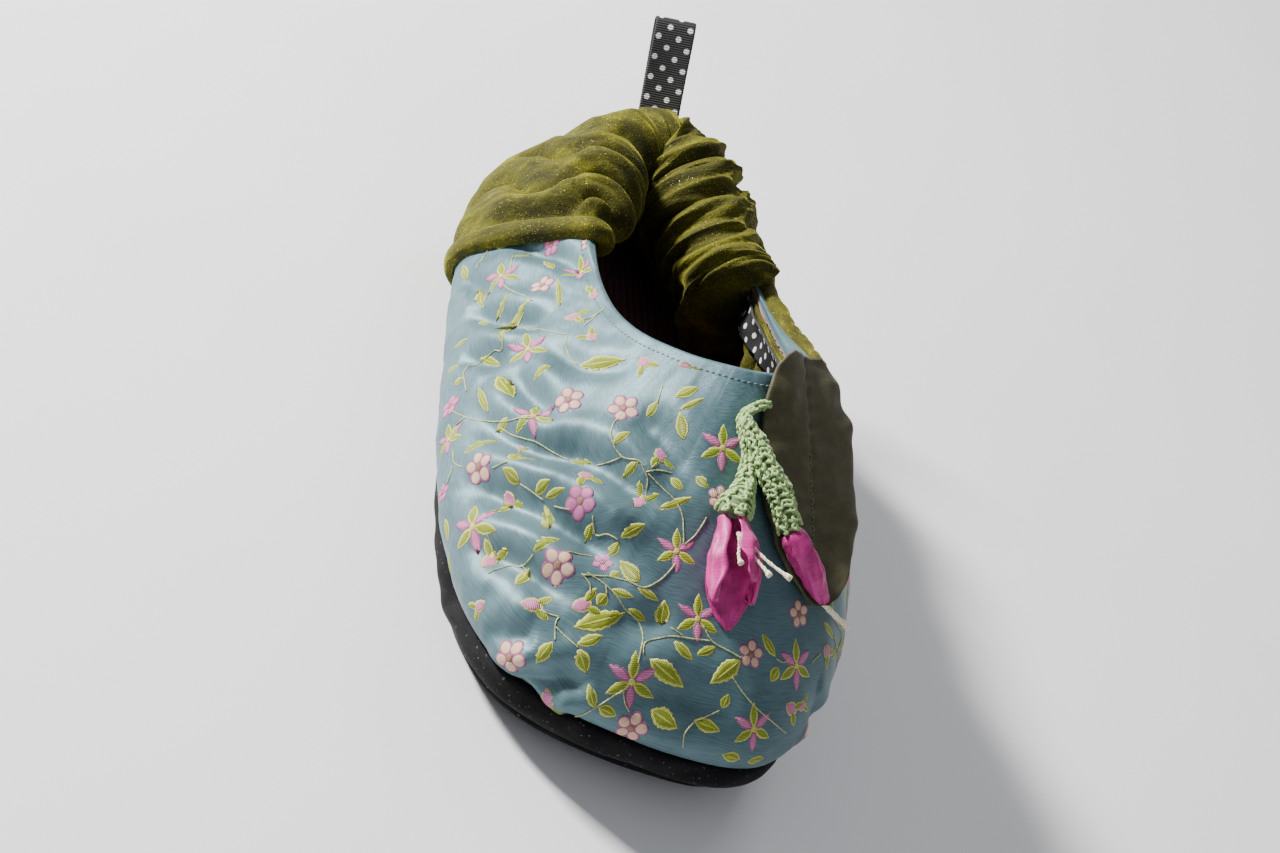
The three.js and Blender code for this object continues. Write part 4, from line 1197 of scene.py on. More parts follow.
@dataclass
class Upper:
    """Brocade shell with its lining, rounded at the collar edge."""

    bench: Bench
    turns: int = 720
    outer_rows: int = 76
    inner_rows: int = 30
    edge_rows: int = 7

    def build(self, brocade: Material, lining: Material) -> None:
        """Makes the shell in one piece, brocade outside and lining inside."""
        wall = self.bench.wall
        turn = np.linspace(0, 1, self.turns + 1)[None, :]
        outer = np.linspace(0, 1, self.outer_rows)[:, None]
        inner = np.linspace(1, 0, self.inner_rows)[:, None]
        tuck = -0.9 * np.exp(-(outer / 0.012) ** 2)
        outside = wall.laid(turn, outer, tuck)
        over = np.linspace(0, math.pi, self.edge_rows + 2)[1:-1, None]
        around = np.broadcast_to(turn, (self.edge_rows, self.turns + 1))
        edge = wall.round_collar(around, over, wall.thickness / 2)
        inside = wall.laid(turn, inner, -wall.thickness)
        foot = wall.edge(turn[0], np.full(self.turns + 1, wall.seam_inset + wall.thickness))
        foot[:, 2] = wall.bare(turn[0], 0.0)[:, 2]
        inside[-1] = foot
        rows = np.concatenate([outside, edge, inside, outside[:1]])
        steps = np.linalg.norm(np.diff(rows, axis=0), axis=-1)
        climbed = np.concatenate([np.zeros((1, self.turns + 1)), np.cumsum(steps, axis=0)])
        passed = np.broadcast_to(turn * wall.edge_length, climbed.shape)
        shell = self.bench.grid("brocade_upper", rows, np.stack([passed, climbed], axis=-1))
        self.bench.finish(shell, brocade, "brocade", "upper")
        self._line(shell, lining)

    def _line(self, shell: Piece, lining: Material) -> None:
        """Gives the faces that look into the shoe the lining cloth."""
        shell.data.materials.append(lining)
        places = np.zeros(len(shell.data.loops) * 2, np.float32)
        shell.data.uv_layers["cloth"].data.foreach_get("uv", places)
        climbed = places.reshape(-1, 2)[:, 1]
        starts = np.zeros(len(shell.data.polygons), np.int32)
        shell.data.polygons.foreach_get("loop_start", starts)
        turn = places.reshape(-1, 2)[starts, 0] / MM / self.bench.wall.edge_length
        heights = np.linspace(0, 1, self.outer_rows)[:, None]
        wall_rows = self.bench.wall.laid(turn[None, :], heights, 0.0)
        limit = np.linalg.norm(np.diff(wall_rows, axis=0), axis=-1).sum(0) + self.bench.wall.thickness * 1.2
        inside = climbed[starts] / MM > limit
        shell.data.polygons.foreach_set("material_index", inside.astype(np.int32))
        shell.data.update()


@dataclass(frozen=True)
class Patch:
    """One patch of satin stitch in a figure, its places and sizes shares of the figure's size."""

    silk: Silk
    length: float
    width: float
    along: float = 0.0
    across: float = 0.0
    turned: float = 0.0
    pointed: float = 0.0
    teeth: int = 0
    low: float = 0.05
    high: float = 0.3

    def points(self, size: float, wide: float, columns: int) -> tuple[Array, Array, Array]:
        """Places along and across the figure, and heights over the wall, of a closed dome."""
        angle = np.linspace(0, math.tau, columns)
        reach = np.array([0.0, 0.5, 0.85, 1.0, 0.0])[:, None]
        rise = self.high - self.low
        proud = 0.5 * np.array([self.high, self.low + 0.85 * rise, self.low + 0.5 * rise, 0.0, -0.2])
        front, side = np.cos(angle), np.sin(angle)
        side = np.sign(side) * np.abs(side) ** (1 + self.pointed) * (1 - 0.22 * self.pointed * front)
        if self.teeth:
            side = side * (1 - 0.24 * np.mod((1 - front) / 2 * self.teeth, 1.0))
        u = reach * front * self.length / 2 * size
        v = reach * side * self.width / 2 * wide
        cosine, sine = math.cos(math.radians(self.turned)), math.sin(math.radians(self.turned))
        u, v = u * cosine - v * sine + self.along * size, u * sine + v * cosine + self.across * size
        return u, v, proud[:, None] + 0 * u


def spray(count: int, silks: tuple[Silk, ...], reach: float, start: float = 0.0,
          **shape: float) -> list[Patch]:
    """Like patches round a middle, their silks taking turns."""
    angles = np.arange(count) * math.tau / count + start
    return [Patch(silks[index % len(silks)], along=reach * math.cos(angle), across=reach * math.sin(angle),
                  turned=math.degrees(angle), **shape) for index, angle in enumerate(angles)]


def figure(motif: Motif, tone: float = 0.0) -> tuple[Patch, ...]:
    """The patches that make up a figure.

    Args:
        motif: which figure.
        tone: 1 for a lilac rosette.

    Returns:
        Its patches, the outlines first and lowest.
    """
    if motif is Motif.ROSETTE:
        fill = Silk.PINK if tone else Silk.CREAM
        return (*spray(5, (Silk.LILAC,), 0.27, 0.3, length=0.45, width=0.42, low=0.03, high=0.16),
                *spray(5, (fill,), 0.28, 0.3, length=0.35, width=0.31, low=0.1, high=0.34),
                Patch(Silk.BEIGE, 0.2, 0.2, low=0.2, high=0.42))
    if motif is Motif.STAR:
        edges, fills = (Silk.PALE, Silk.LILAC), (Silk.GREEN, Silk.PINK)
        return (*spray(6, edges, 0.26, length=0.5, width=0.21, pointed=1.0, low=0.03, high=0.14),
                *spray(6, fills, 0.27, length=0.42, width=0.14, pointed=1.0, low=0.1, high=0.32),
                Patch(Silk.PALE, 0.13, 0.13, low=0.2, high=0.36))
    if motif is Motif.BUD:
        return (Patch(Silk.PALE, 0.68, 0.5, 0.1, 0, 0, 0.6, low=0.03, high=0.14),
                Patch(Silk.PINK, 0.58, 0.4, 0.12, 0, 0, 0.6, low=0.1, high=0.36),
                Patch(Silk.PALE, 0.62, 0.28, -0.2, 0.22, -38, 1.0, low=0.03, high=0.14),
                Patch(Silk.PALE, 0.62, 0.28, -0.2, -0.22, 38, 1.0, low=0.03, high=0.14),
                Patch(Silk.GREEN, 0.54, 0.2, -0.2, 0.22, -38, 1.0, low=0.12, high=0.36),
                Patch(Silk.GREEN, 0.54, 0.2, -0.2, -0.22, 38, 1.0, low=0.12, high=0.36))
    teeth = 6 if motif is Motif.SERRATED else 0
    return (Patch(Silk.PALE, 1.0, 1.0, 0.5, 0, 0, 1.0, teeth, low=0.03, high=0.14),
            Patch(Silk.GREEN, 0.9, 0.72, 0.5, 0, 0, 1.0, teeth, low=0.1, high=0.34),
            Patch(Silk.PALE, 0.8, 0.1, 0.46, 0, 0, 1.0, low=0.3, high=0.44))


def eased(height: Array, low: float = 0.03, high: float = 0.96) -> Array:
    """Heights eased to stay between the sole's seam and the collar's edge."""
    above, below = 0.025, 0.018
    over, under = np.maximum(height - high, 0), np.maximum(low - height, 0)
    raised, lowered = above * (1 - np.exp(-over / above)), below * (1 - np.exp(-under / below))
    return np.clip(height, low, high) + raised - lowered


@dataclass
class Embroidery:
    """Flowers, leaves and vines worked over the brocade, mirrored to the side out of sight."""

    bench: Bench
    from_turn: float = 0.145
    to_turn: float = 0.86
    hidden_from: float = 0.57
    mirrored_to: float = 0.43
    bead: float = 0.42
    apart: float = 9.0

    def rows(self) -> list[tuple[Motif, float, float, float, float, float, float]]:
        """Every figure: kind, turn, height, heading, size, width and tone, mirrored ones last."""
        shown = [(Motif.ROSETTE, turn, height, 0.0, size, size, tone) for turn, height, tone,
                 size in ROSETTES]
        shown += [(Motif.STAR, *row, row[-1], 0.0) for row in STARS]
        shown += [(Motif.BUD, *row, row[-1], 0.0) for row in BUDS]
        shown += [(Motif.LEAF, *row, 0.0) for row in LEAVES]
        shown += [(Motif.SERRATED, *row, 0.0) for row in SERRATED]
        wall = self.bench.wall
        taken = wall.bare(np.array([row[1] for row in shown]), np.array([row[2] for row in shown]))
        for row in list(shown):
            turn = wall.opposite - row[1]
            if not self.hidden_from < turn < self.to_turn:
                continue
            away = taken - wall.bare(np.array(turn), np.array(row[2]))
            if np.linalg.norm(away, axis=-1).min() > self.apart:
                shown.append((row[0], turn, row[2], 180 - row[3], *row[4:]))
        return [row for row in shown if row[1] > self.from_turn]

    def lay(self, turn: Array, height: Array, heading: Array, u: Array, v: Array) -> tuple[Array, Array]:
        """Turns and heights of points given in a figure's own millimetres."""
        wall = self.bench.wall
        _, along, _, normal = wall.rates(turn, height)
        ahead = unit(along)
        aside = np.cross(normal, ahead)
        angle = np.radians(heading) + np.arctan2(v, u)
        direction = np.cos(angle)[:, None] * ahead + np.sin(angle)[:, None] * aside
        turn, height, _ = wall.walk(turn, height, direction, np.hypot(u, v) + 1e-6, 2)
        return turn, height

    def build(self, silk: Material) -> None:
        """Makes one piece of each kind of figure, and one of the vines."""
        wall = self.bench.wall
        rows = self.rows()
        for motif in Motif:
            shapes, spots = [], []
            for kind, turn, height, heading, size, width, tone in rows:
                if kind is not motif:
                    continue
                for patch in figure(kind, tone):
                    columns = 43 if patch.teeth else 13
                    u, v, proud = patch.points(size, width, columns)
                    shapes.append((u, v, proud, patch.silk.value))
                    spots.append(np.broadcast_to(np.array([turn, height, heading]),
                                                 (*u.shape, 3)).reshape(-1, 3))
            spot = np.concatenate(spots)
            flat = [np.concatenate([shape[index].ravel() for shape in shapes]) for index in range(3)]
            turn, height = self.lay(spot[:, 0], spot[:, 1], spot[:, 2], flat[0], flat[1])
            points = wall.laid(turn, eased(height), flat[2])
            parts, start = [], 0
            for number, (u, v, _, shade) in enumerate(shapes):
                block = points[start:start + u.size].reshape(*u.shape, 3)
                start += u.size
                parts.append((block, np.stack([u, v], axis=-1) + number * 3.0, shade))
            self.bench.finish(self.bench.join(motif.value, parts), silk, "brocade")
        self.bench.finish(self.bench.join("embroidered_vines", self._vines()), silk, "brocade")

    def _vines(self) -> list[tuple[Array, Array, float]]:
        """Thin beaded tubes along the vines."""
        wall = self.bench.wall
        parts = []
        for vine in VINES:
            for copy in wall.mirrored(vine, self.mirrored_to):
                spots = catmull(copy, np.linspace(0, 1, 40 * len(copy)))
                line = wall.bare(spots[:, 0], spots[:, 1])
                passed = walked(line)
                even = np.arange(0, passed[-1], self.bead)
                past = self.from_turn - 0.02 > copy[:, 0].min() or copy[:, 0].max() > self.to_turn + 0.02
                if len(even) < 4 or past:
                    continue
                turn, height = (np.interp(even, passed, spots[:, axis]) for axis in (0, 1))
                path = wall.laid(turn, eased(height), 0.08)
                points, cloth = self.bench.tube_points(path, 0.13 + 0.1 * np.abs(np.sin(even * 2.4)), 5)
                parts.append((points, cloth, Silk.VINE.value))
        return parts


@dataclass
class Topstitch:
    """Fine stitches a little below the brocade's collar edge."""

    bench: Bench
    below: float = 2.6
    pitch: float = 1.7
    length: float = 1.15
    turns: tuple[float, float] = (0.165, 0.7)

    def build(self, thread: Material) -> None:
        """Lays the stitches side by side along the collar."""
        wall = self.bench.wall
        turn = np.linspace(*self.turns, 900)
        _, _, up, _ = wall.rates(turn, np.full(turn.shape, 0.98))
        height = 1 - self.below / np.linalg.norm(up, axis=-1)
        line = wall.bare(turn, height)
        passed = walked(line)
        parts = []
        for start in np.arange(0, passed[-1] - self.length, self.pitch):
            place = np.interp(start + np.linspace(0, self.length, 5), passed, turn)
            arch = np.array([-0.12, 0.08, 0.14, 0.08, -0.12])
            path = wall.laid(place, np.interp(place, turn, height), arch)
            points, cloth = self.bench.tube_points(path, 0.17, 5)
            parts.append((points, cloth, 0.5))
        self.bench.finish(self.bench.join("collar_topstitch", parts), thread, "brocade")


@dataclass
class Seams:
    """Turns at which the velvet heel piece ends on both sides."""

    wall: Wall
    at_collar: float = 72.0
    inner_at_collar: float = 65.0
    at_sole: float = 58.0

    def turns(self, height: Array) -> tuple[Array, Array]:
        """Inner and outer turn of the seams at heights on the wall."""
        outer_setback, inner_setback = (
            self.at_sole + (at_collar - self.at_sole) * np.asarray(height, float)
            for at_collar in (self.at_collar, self.inner_at_collar)
        )
        share = np.linspace(0, 0.4, 2000)
        outer_reach = self.wall.edge(share, np.zeros(len(share)))[:, 0] + self.wall.length / 2
        inner_reach = self.wall.edge(-share, np.zeros(len(share)))[:, 0] + self.wall.length / 2
        outer = np.interp(outer_setback, np.maximum.accumulate(outer_reach), share)
        inner = -np.interp(inner_setback, np.maximum.accumulate(inner_reach), share)
        return inner, outer


# Fullness of the velvet, and depth of its gathers, by station from the sole to deep inside
FULLNESS = np.array([
    (0, 0), (0.1, 0.08), (0.2, 0.3), (0.32, 0.68), (0.44, 0.95),
    (0.6, 1), (0.74, 0.95), (0.83, 0.85), (0.92, 0.6), (1, 0.05),
])
GATHERED = np.array([
    (0, 0.1), (0.1, 0.25), (0.2, 0.45), (0.32, 0.8), (0.44, 1),
    (0.6, 1), (0.75, 1), (0.85, 1), (0.93, 0.8), (1, 0.1),
])


@dataclass
class HeelPiece:
    """Gathered velvet laid over the rear wall, the collar edge and down the inside."""

    bench: Bench
    seams: Seams
    cloth: float = 1.5
    puff: float = 5.6
    inner_puff: float = 5.0
    lobes: int = 11
    lobe_depth: float = 8.0
    columns: int = 440
    rows: int = 92
    hem_width: float = 8.5
    inside_to: float = 0.32
    edge_from: float = 0.47
    edge_to: float = 0.71
    edge_top: float = 0.6
    cut: tuple[float, float] = (190.0, 240.0)

    def path(self, station: Array, share: Array, proud: Array) -> Array:
        """Points over the wall: station 0 at the sole, 0.47 to 0.71 over the edge, 1 deep inside."""
        wall = self.bench.wall
        station, share, proud = np.broadcast_arrays(station, share, proud)
        outside = np.clip(station / self.edge_from, 0, 1)
        inside = 1 - (1 - self.inside_to) * np.clip((station - self.edge_to) / (1 - self.edge_to), 0, 1)
        height = np.where(station < self.edge_top, outside, inside)
        inner, outer = self.seams.turns(height)
        turn = inner + share * (outer - inner)
        gap = wall.clearance + proud
        beside = wall.laid(turn, height, np.where(station < self.edge_top, gap, -wall.thickness - gap), 0.0)
        over = np.clip((station - self.edge_from) / (self.edge_to - self.edge_from), 0, 1) * math.pi
        around = wall.round_collar(turn, over, wall.thickness / 2 + gap)
        on_edge = ((station > self.edge_from) & (station < self.edge_to))[..., None]
        return np.where(on_edge, around, beside)

    def cover(self, station: Array, share: Array) -> Array:
        """Thickness of the velvet: cloth, wadding, gathered lobes, wrinkles and the two hems."""
        station, share = np.broadcast_arrays(station, share)
        puff, depth = through(FULLNESS, station), through(GATHERED, station)
        from_end = np.minimum(share, 1 - share)
        bulb = np.sqrt(1 - (1 - np.clip(from_end / 0.05, 0, 1)) ** 2)
        full = np.where(share < 0.5, np.where(station > 0.5, bulb, smooth(from_end, 0.0, 0.07)),
                        smooth(from_end, 0.02, 0.1))
        drift = 0.033 * ripple(station * 2.6, share * 3.2, 11)
        drift = drift + 0.012 * np.sin(math.tau * share * 2.3 + 1.1)
        phase = (share + drift) * self.lobes
        lobe = np.abs(np.sin(math.pi * (phase + 0.5))) ** 0.55
        size = 0.8 + 0.36 * ripple(share * 5.0, station * 0.6, 5)
        inner = smooth(0.58 - share, 0.0, 0.25)
        small = np.abs(np.sin(math.pi * (share + 1.6 * drift) * self.lobes * 2.7)) ** 0.7
        crumple = 0.6 - 1.5 * np.abs(ripple(share * 13.0, station * 4.5, 8))
        fine = ripple(share * 40.0, station * 9.0, 9)
        small_depth = 0.8 + 0.7 * inner
        gathers = self.lobe_depth * (1 - 0.5 * inner) * (lobe * size - 0.62) + small_depth * (small - 0.5)
        gathers = gathers + (0.5 + 1.0 * inner) * crumple + (0.1 + 0.2 * inner) * fine
        within = smooth(station, 0.5, 0.72) * (1 - smooth(station, 0.9, 1.0)) * full
        within = within * self.inner_puff * (1 + 1.7 * smooth(0.55 - share, 0.0, 0.3))
        made = self.cloth + puff * self.puff * (0.5 + 0.5 * full) + gathers * depth * full + within
        total = self.bench.wall.edge_length * (self.seams.turns(1.0)[1] - self.seams.turns(1.0)[0])
        hem = np.where((share < 0.5) & (station > 0.5), 9.0, from_end * total / self.hem_width)
        band = np.clip(1 - (2 * np.clip(hem, 0, 1) - 1) ** 2, 0, 1) ** 0.4
        made = made * (0.3 + 0.7 * smooth(hem, 1.0, 1.7))
        made = np.where(hem <= 1, 0.7 + (2.4 + 2.4 * puff) * band, made)
        return np.maximum(made, 0.7)

    def build(self, velvet: Material) -> None:
        """Makes the velvet as one closed cover."""
        station = np.linspace(0, 1, self.rows)[:, None]
        share = np.concatenate([np.linspace(0, 0.05, 34)[:-1], np.linspace(0.05, 0.95, self.columns),
                                np.linspace(0.95, 1, 34)[1:]])
        share = share[None, :]
        above = self.path(station, share, self.cover(station, share))
        under = self.path(station, share, np.zeros(1))
        rows = shut(above, under, under)
        passed = np.linspace(0, self.cut[0], rows.shape[1])[None, :]
        climbed = np.linspace(0, self.cut[1], rows.shape[0])[:, None]
        cover = self.bench.grid("velvet_heel_piece", rows, pairs(passed, climbed))
        self.bench.finish(cover, velvet, "olive_velvet", "heel_piece")


@dataclass
class InnerCollar:
    """Velvet facing and dotted ribbon on the inside of the inner collar."""

    bench: Bench
    seams: Seams
    end_gap: float = 1.0
    facing_to: float = 0.72
    facing_low: float = 0.22
    ribbon_to: float = 0.63
    ribbon_low: float = 0.86
    ribbon_thickness: float = 0.8
    fold_gap: float = 0.004
    fold_to: float = 0.635
    fold_length: float = 70.0

    def _strip(self, name: str, to: float, low: float, depth: Array, thick: Array,
               shape: tuple[int, int]) -> Piece:
        """Closed strip inside the wall, depth away from it and thick."""
        wall = self.bench.wall
        start = self.seams.turns(1.0)[0] + 1 - self.end_gap / wall.edge_length
        share = np.linspace(0, 1, shape[1])[None, :]
        height = np.linspace(low, 1, shape[0])[:, None]
        turn = start + (to - start) * share
        near = wall.laid(turn, height, -wall.thickness - depth)
        far = wall.laid(turn, height, -wall.thickness - depth - thick)
        rows = shut(far, near, near)
        return self.bench.grid(name, rows, pairs(walked(rows[:, 1])[:, None], walked(rows[0])[None, :]))

    def puffed(self, share: Array, height: Array) -> Array:
        """Thickness of the facing, fullest below the ribbon."""
        level = (height - self.facing_low) / (1 - self.facing_low)
        swirl = share * 3.2 + 0.9 * level + 0.25 * ripple(share * 3, level * 2, 21)
        lobes = np.abs(np.sin(math.pi * swirl)) ** 0.7
        crumple = ripple(share * 9, level * 5, 22)
        ends = smooth(share, -0.05, 0.22) * smooth(1 - share, 0, 0.6)
        fade = ends * smooth(level, 0, 0.6) * smooth(1 - level, 0, 0.4)
        return np.maximum(1.0 + fade * (10.0 + 3.0 * (lobes - 0.5) + 0.8 * crumple), 0.8)

    def build(self, velvet: Material, grosgrain: Material, brocade: Material) -> None:
        """Makes the puffed facing, the ribbon that lies over it, and the folded edge outside."""
        clearance = self.bench.wall.clearance
        shape = (60, 150)
        share = np.linspace(0, 1, shape[1])[None, :]
        height = np.linspace(self.facing_low, 1, shape[0])[:, None]
        facing = self._strip("velvet_facing", self.facing_to, self.facing_low, np.full(shape, clearance),
                             self.puffed(share, height), shape)
        self.bench.finish(facing, velvet, "olive_velvet", "collar_facing")

        shape = (14, 120)
        start = self.seams.turns(1.0)[0] + 1 - self.end_gap / self.bench.wall.edge_length
        share = np.linspace(0, (self.ribbon_to - start) / (self.facing_to - start), shape[1])[None, :]
        height = np.linspace(self.ribbon_low, 1, shape[0])[:, None]
        depth = 2 * clearance + self.puffed(np.minimum(share, 1), height) * (share < 1) + 0.4
        ribbon = self._strip("collar_ribbon_band", self.ribbon_to, self.ribbon_low, depth,
                             np.full(shape, self.ribbon_thickness), shape)
        self.bench.finish(ribbon, grosgrain, "dotted_ribbon", "collar_ribbon")
        self._fold(brocade)
        self._hem(velvet)

    def _outward(self, share: Array) -> tuple[Array, Array, Array, Array]:
        """Collar edge, its outward and upward directions and the fold's width along the inner collar."""
        wall = self.bench.wall
        start = self.seams.turns(1.0)[0] + 1
        turn = start + self.fold_gap + (self.fold_to - start) * share
        here, _, up, normal = wall.rates(turn, np.ones(turn.shape))
        width = 1.0 + 4.2 * smooth(share, 0.0, 0.7) * (1 - 0.6 * smooth(share, 0.75, 1.0))
        return here, normal, unit(up), width

    def _fold(self, brocade: Material) -> None:
        """Brocade edge folded outward, narrow at the velvet and wider toward the leaf."""
        share = np.linspace(0, 1, 120)
        here, normal, up, width = self._outward(share)
        ring = np.linspace(0, math.tau, 25)[:, None]
        across = (0.5 - 0.5 * np.cos(ring)) * width
        thick = 0.6 * np.sin(ring)
        crown = 0.9 * np.sin(np.pi * across / width) - 0.32 * across
        points = here + normal * (across - 1.6)[..., None] + up * (crown + thick + 0.9)[..., None]
        ends = [np.repeat(points[:, index].mean(0)[None, None], 25, 0) for index in (0, -1)]
        points = np.concatenate([ends[0], points, ends[1]], axis=1)
        passed = np.concatenate([[0], share, [1]])[None, :] * self.fold_length
        fold = self.bench.grid("brocade_collar_fold", points, pairs(passed, ring * 2.0))
        self.bench.finish(fold, brocade, "brocade")

    def _hem(self, velvet: Material) -> None:
        """Rolls the velvet's hem along the outside of the inner collar, ever thinner toward the leaf."""
        share = np.linspace(0, 1, 90)
        here, normal, up, width = self._outward(share)
        radius = 3.6 - 2.7 * share + 0.3 * ripple(share * 9, share * 2, 61)
        outward, downward = width - 1.2 + 0.5 * radius, 0.32 * width + 0.75 * radius
        path = here + normal * outward[:, None] - up * downward[:, None]
        hem = self.bench.tube("velvet_hem_roll", path, radius, 20)
        self.bench.finish(hem, velvet, "olive_velvet")


@dataclass
class PullLoop:
    """Hairpin of dotted ribbon that stands on the back of the velvet and leans back."""

    bench: Bench
    width: float = 12.6
    thickness: float = 0.8
    reach: float = 34.0
    fold: float = 2.6
    lean: Triple = (-0.55, -0.2, 0.81)
    seat: float = 6.9
    seat_height: float = 8 / 9
    sides: int = 32
    columns: int = 90

    def build(self, grosgrain: Material) -> None:
        """Sweeps the ribbon's rounded section along the hairpin."""
        wall = self.bench.wall
        seat = np.array(0.0), np.array(self.seat_height)
        _, _, _, normal = wall.rates(*seat)
        lean = unit(np.array(self.lean))
        side = unit(np.cross(normal, lean))
        back = unit(np.cross(lean, side))
        foot = wall.laid(*seat, wall.clearance * 2 + self.seat + self.thickness / 2, 0.0)
        straight = self.reach - self.fold
        rows = np.array([(0, 0, 0), (0.5, 0, 0.2), (1, 0, 0), (1, 1, 1),
                         (1, 0, 2), (0.5, 0, 1.3), (0, 0, 0.43)])
        flat = np.column_stack([rows[:, 0] * straight + rows[:, 1] * self.fold, rows[:, 2] * self.fold])
        path = catmull(flat, np.linspace(0, 1, self.columns))
        middle = foot + path[:, :1] * lean + path[:, 1:] * back
        ahead = unit(np.gradient(middle, axis=0))
        facing = unit(np.cross(side[None, :], ahead))
        angle = np.linspace(0, math.tau, self.sides + 1)
        across = np.sign(np.cos(angle)) * np.abs(np.cos(angle)) ** 0.35 * self.width / 2
        out = np.sign(np.sin(angle)) * np.abs(np.sin(angle)) ** 0.35 * self.thickness / 2
        passed = walked(middle)
        sway = 0.35 * np.sin(passed / passed[-1] * math.tau)[:, None]
        thick = (out[None, :] + sway * (across / self.width * 2)[None, :] ** 2)[..., None]
        points = middle[:, None] + across[None, :, None] * side + thick * facing[:, None]
        ends = [np.repeat(points[index].mean(0)[None, None], self.sides + 1, 1) for index in (0, -1)]
        points = np.concatenate([ends[0], points, ends[1]])
        passed = np.concatenate([[0], passed, passed[-1:]])
        cloth = pairs((across + self.width / 2)[None, :], passed[:, None])
        loop = self.bench.grid("ribbon_pull_loop", points, cloth)
        self.bench.finish(loop, grosgrain, "dotted_ribbon", "pull_loop")


# Half width of the leaf along its length
LEAF_WIDTH = np.array([
    (0, 0.46), (0.03, 0.64), (0.08, 0.78), (0.2, 0.9), (0.34, 0.97), (0.5, 1),
    (0.64, 0.94), (0.78, 0.78), (0.89, 0.52), (0.97, 0.24), (1, 0.07),
])


@dataclass
class Leaf:
    """Double silk leaf with a wavy edge and a stitched midrib."""

    bench: Bench
    length: float = 67.0
    width: float = 35.0
    thickness: float = 1.2
    start: tuple[float, float] = (0.615, 1.035)
    heading: float = 42.0
    rows: int = 90
    columns: int = 41

    def _grid_places(self, along: Array, across: Array) -> tuple[Array, Array]:
        """Turns and heights of places on the leaf, across from -1 to 1."""
        wall = self.bench.wall
        angle = math.radians(self.heading)
        ahead = np.array([math.cos(angle), math.sin(angle), 0.0])
        turns, heights, headings = [], [], []
        turn, height, heading = np.array(self.start[0]), np.array(self.start[1]), ahead
        before = 0.0
        for share in along:
            step = (share - before) * self.length + 1e-6
            turn, height, heading = wall.walk(turn, height, heading, step, 2)
            before = share
            turns.append(turn), heights.append(height), headings.append(heading)
        turns, heights, headings = np.array(turns), np.array(heights), np.array(headings)
        _, _, _, normal = wall.rates(turns, heights)
        sideways = unit(np.cross(normal, headings))
        half = self.width / 2 * self.half_width(along)
        spread = (turns[:, None] + 0 * across, heights[:, None] + 0 * across)
        signed = np.sign(across)[None, :, None] * sideways[:, None, :]
        signed = np.where(np.abs(signed).sum(-1, keepdims=True) == 0, sideways[:, None, :], signed)
        turn, height, _ = wall.walk(*spread, signed, np.abs(across)[None, :] * half[:, None], 5)
        return turn, height

    @staticmethod
    def half_width(along: Array) -> Array:
        """Half width at shares of the length."""
        return through(LEAF_WIDTH, along)

    def rise(self, along: Array, across: Array) -> Array:
        """How far the leaf's underside stands off the wall."""
        along, across = along[:, None], across[None, :]
        edge = np.abs(across) ** 2.2
        wave = 0.5 + 0.36 * np.sin(along * 21 + np.sign(across) * 1.3) + 0.2 * np.sin(along * 47 + across)
        pucker = 0.22 * np.cos(along * self.length * 1.45 + across * 2) * np.exp(-((across / 0.22) ** 2))
        groove = -0.6 * np.exp(-((across / 0.05) ** 2)) * (1 - 0.6 * smooth(along, 0.45, 0.7))
        crumple = 0.28 * ripple(along * 3.5, across * 1.6, 31) + 0.16 * ripple(along * 9, across * 3, 32)
        lifted = self.bench.wall.clearance + edge * np.maximum(wave, 0) * 0.8 + 0.7
        stand = (4.2 + 2.6 * (1 - smooth(along, 0.1, 0.5))) * smooth(along, -0.1, 0.12)
        lifted = lifted + stand * smooth(across, 0.0, 1.2)
        return np.maximum(lifted + pucker + groove + crumple * (0.3 + 0.7 * np.abs(across)),
                          self.bench.wall.clearance)

    def build(self, silk: Material, thread: Material) -> None:
        """Makes the leaf as one closed sheet, then the stitches along its midrib."""
        wall = self.bench.wall
        along, across = np.linspace(0, 1, self.rows), np.linspace(-1, 1, self.columns)
        turn, height = self._grid_places(along, across)
        rise = self.rise(along, across)
        edge = np.sqrt(np.clip(1 - np.abs(across) ** 14, 0, 1))[None, :]
        under = wall.laid(turn, height, rise + self.thickness * 0.5 * (1 - edge))
        above = wall.laid(turn, height, rise + self.thickness * (0.5 + 0.5 * edge))
        under, above = under.swapaxes(0, 1), above.swapaxes(0, 1)
        loops = shut(under, above, under).swapaxes(0, 1)
        half = np.concatenate([across, across[::-1], across[:1]]) * self.width / 2
        passed = np.concatenate([[0], along, [1]]) * self.length
        cloth = pairs(half[None, :], passed[:, None])
        leaf = self.bench.grid("silk_leaf", loops, cloth)
        self.bench.finish(leaf, silk, "leaf_silk", "leaf")
        middle = self.columns // 2
        stitches = self._stitches(turn[:, middle], height[:, middle], rise[:, middle])
        row = self.bench.join("leaf_midrib_stitches", stitches)
        self.bench.finish(row, thread, "leaf_silk")
        flat_area = float(np.trapz(self.half_width(along), along)) * self.width * self.length * MM * MM
        self.width * MM

    def _stitches(self, turn: Array, height: Array, rise: Array) -> Grids:
        """Small stitches in a row down the midrib."""
        parts = []
        places = np.arange(0.4, 0.97, 2.4 / self.length)
        for place in places:
            share = np.linspace(place, place + 1.5 / self.length, 5)
            grid = np.linspace(0, 1, self.rows)
            where = [np.interp(share, grid, column) for column in (turn, height, rise)]
            arch = np.array([0.0, 0.22, 0.3, 0.22, 0.0])
            path = self.bench.wall.laid(where[0], where[1], where[2] + self.thickness + arch - 0.12)
            points, cloth = self.bench.tube_points(path, 0.24, 6)
            parts.append((points, cloth, 0.5))
        return parts


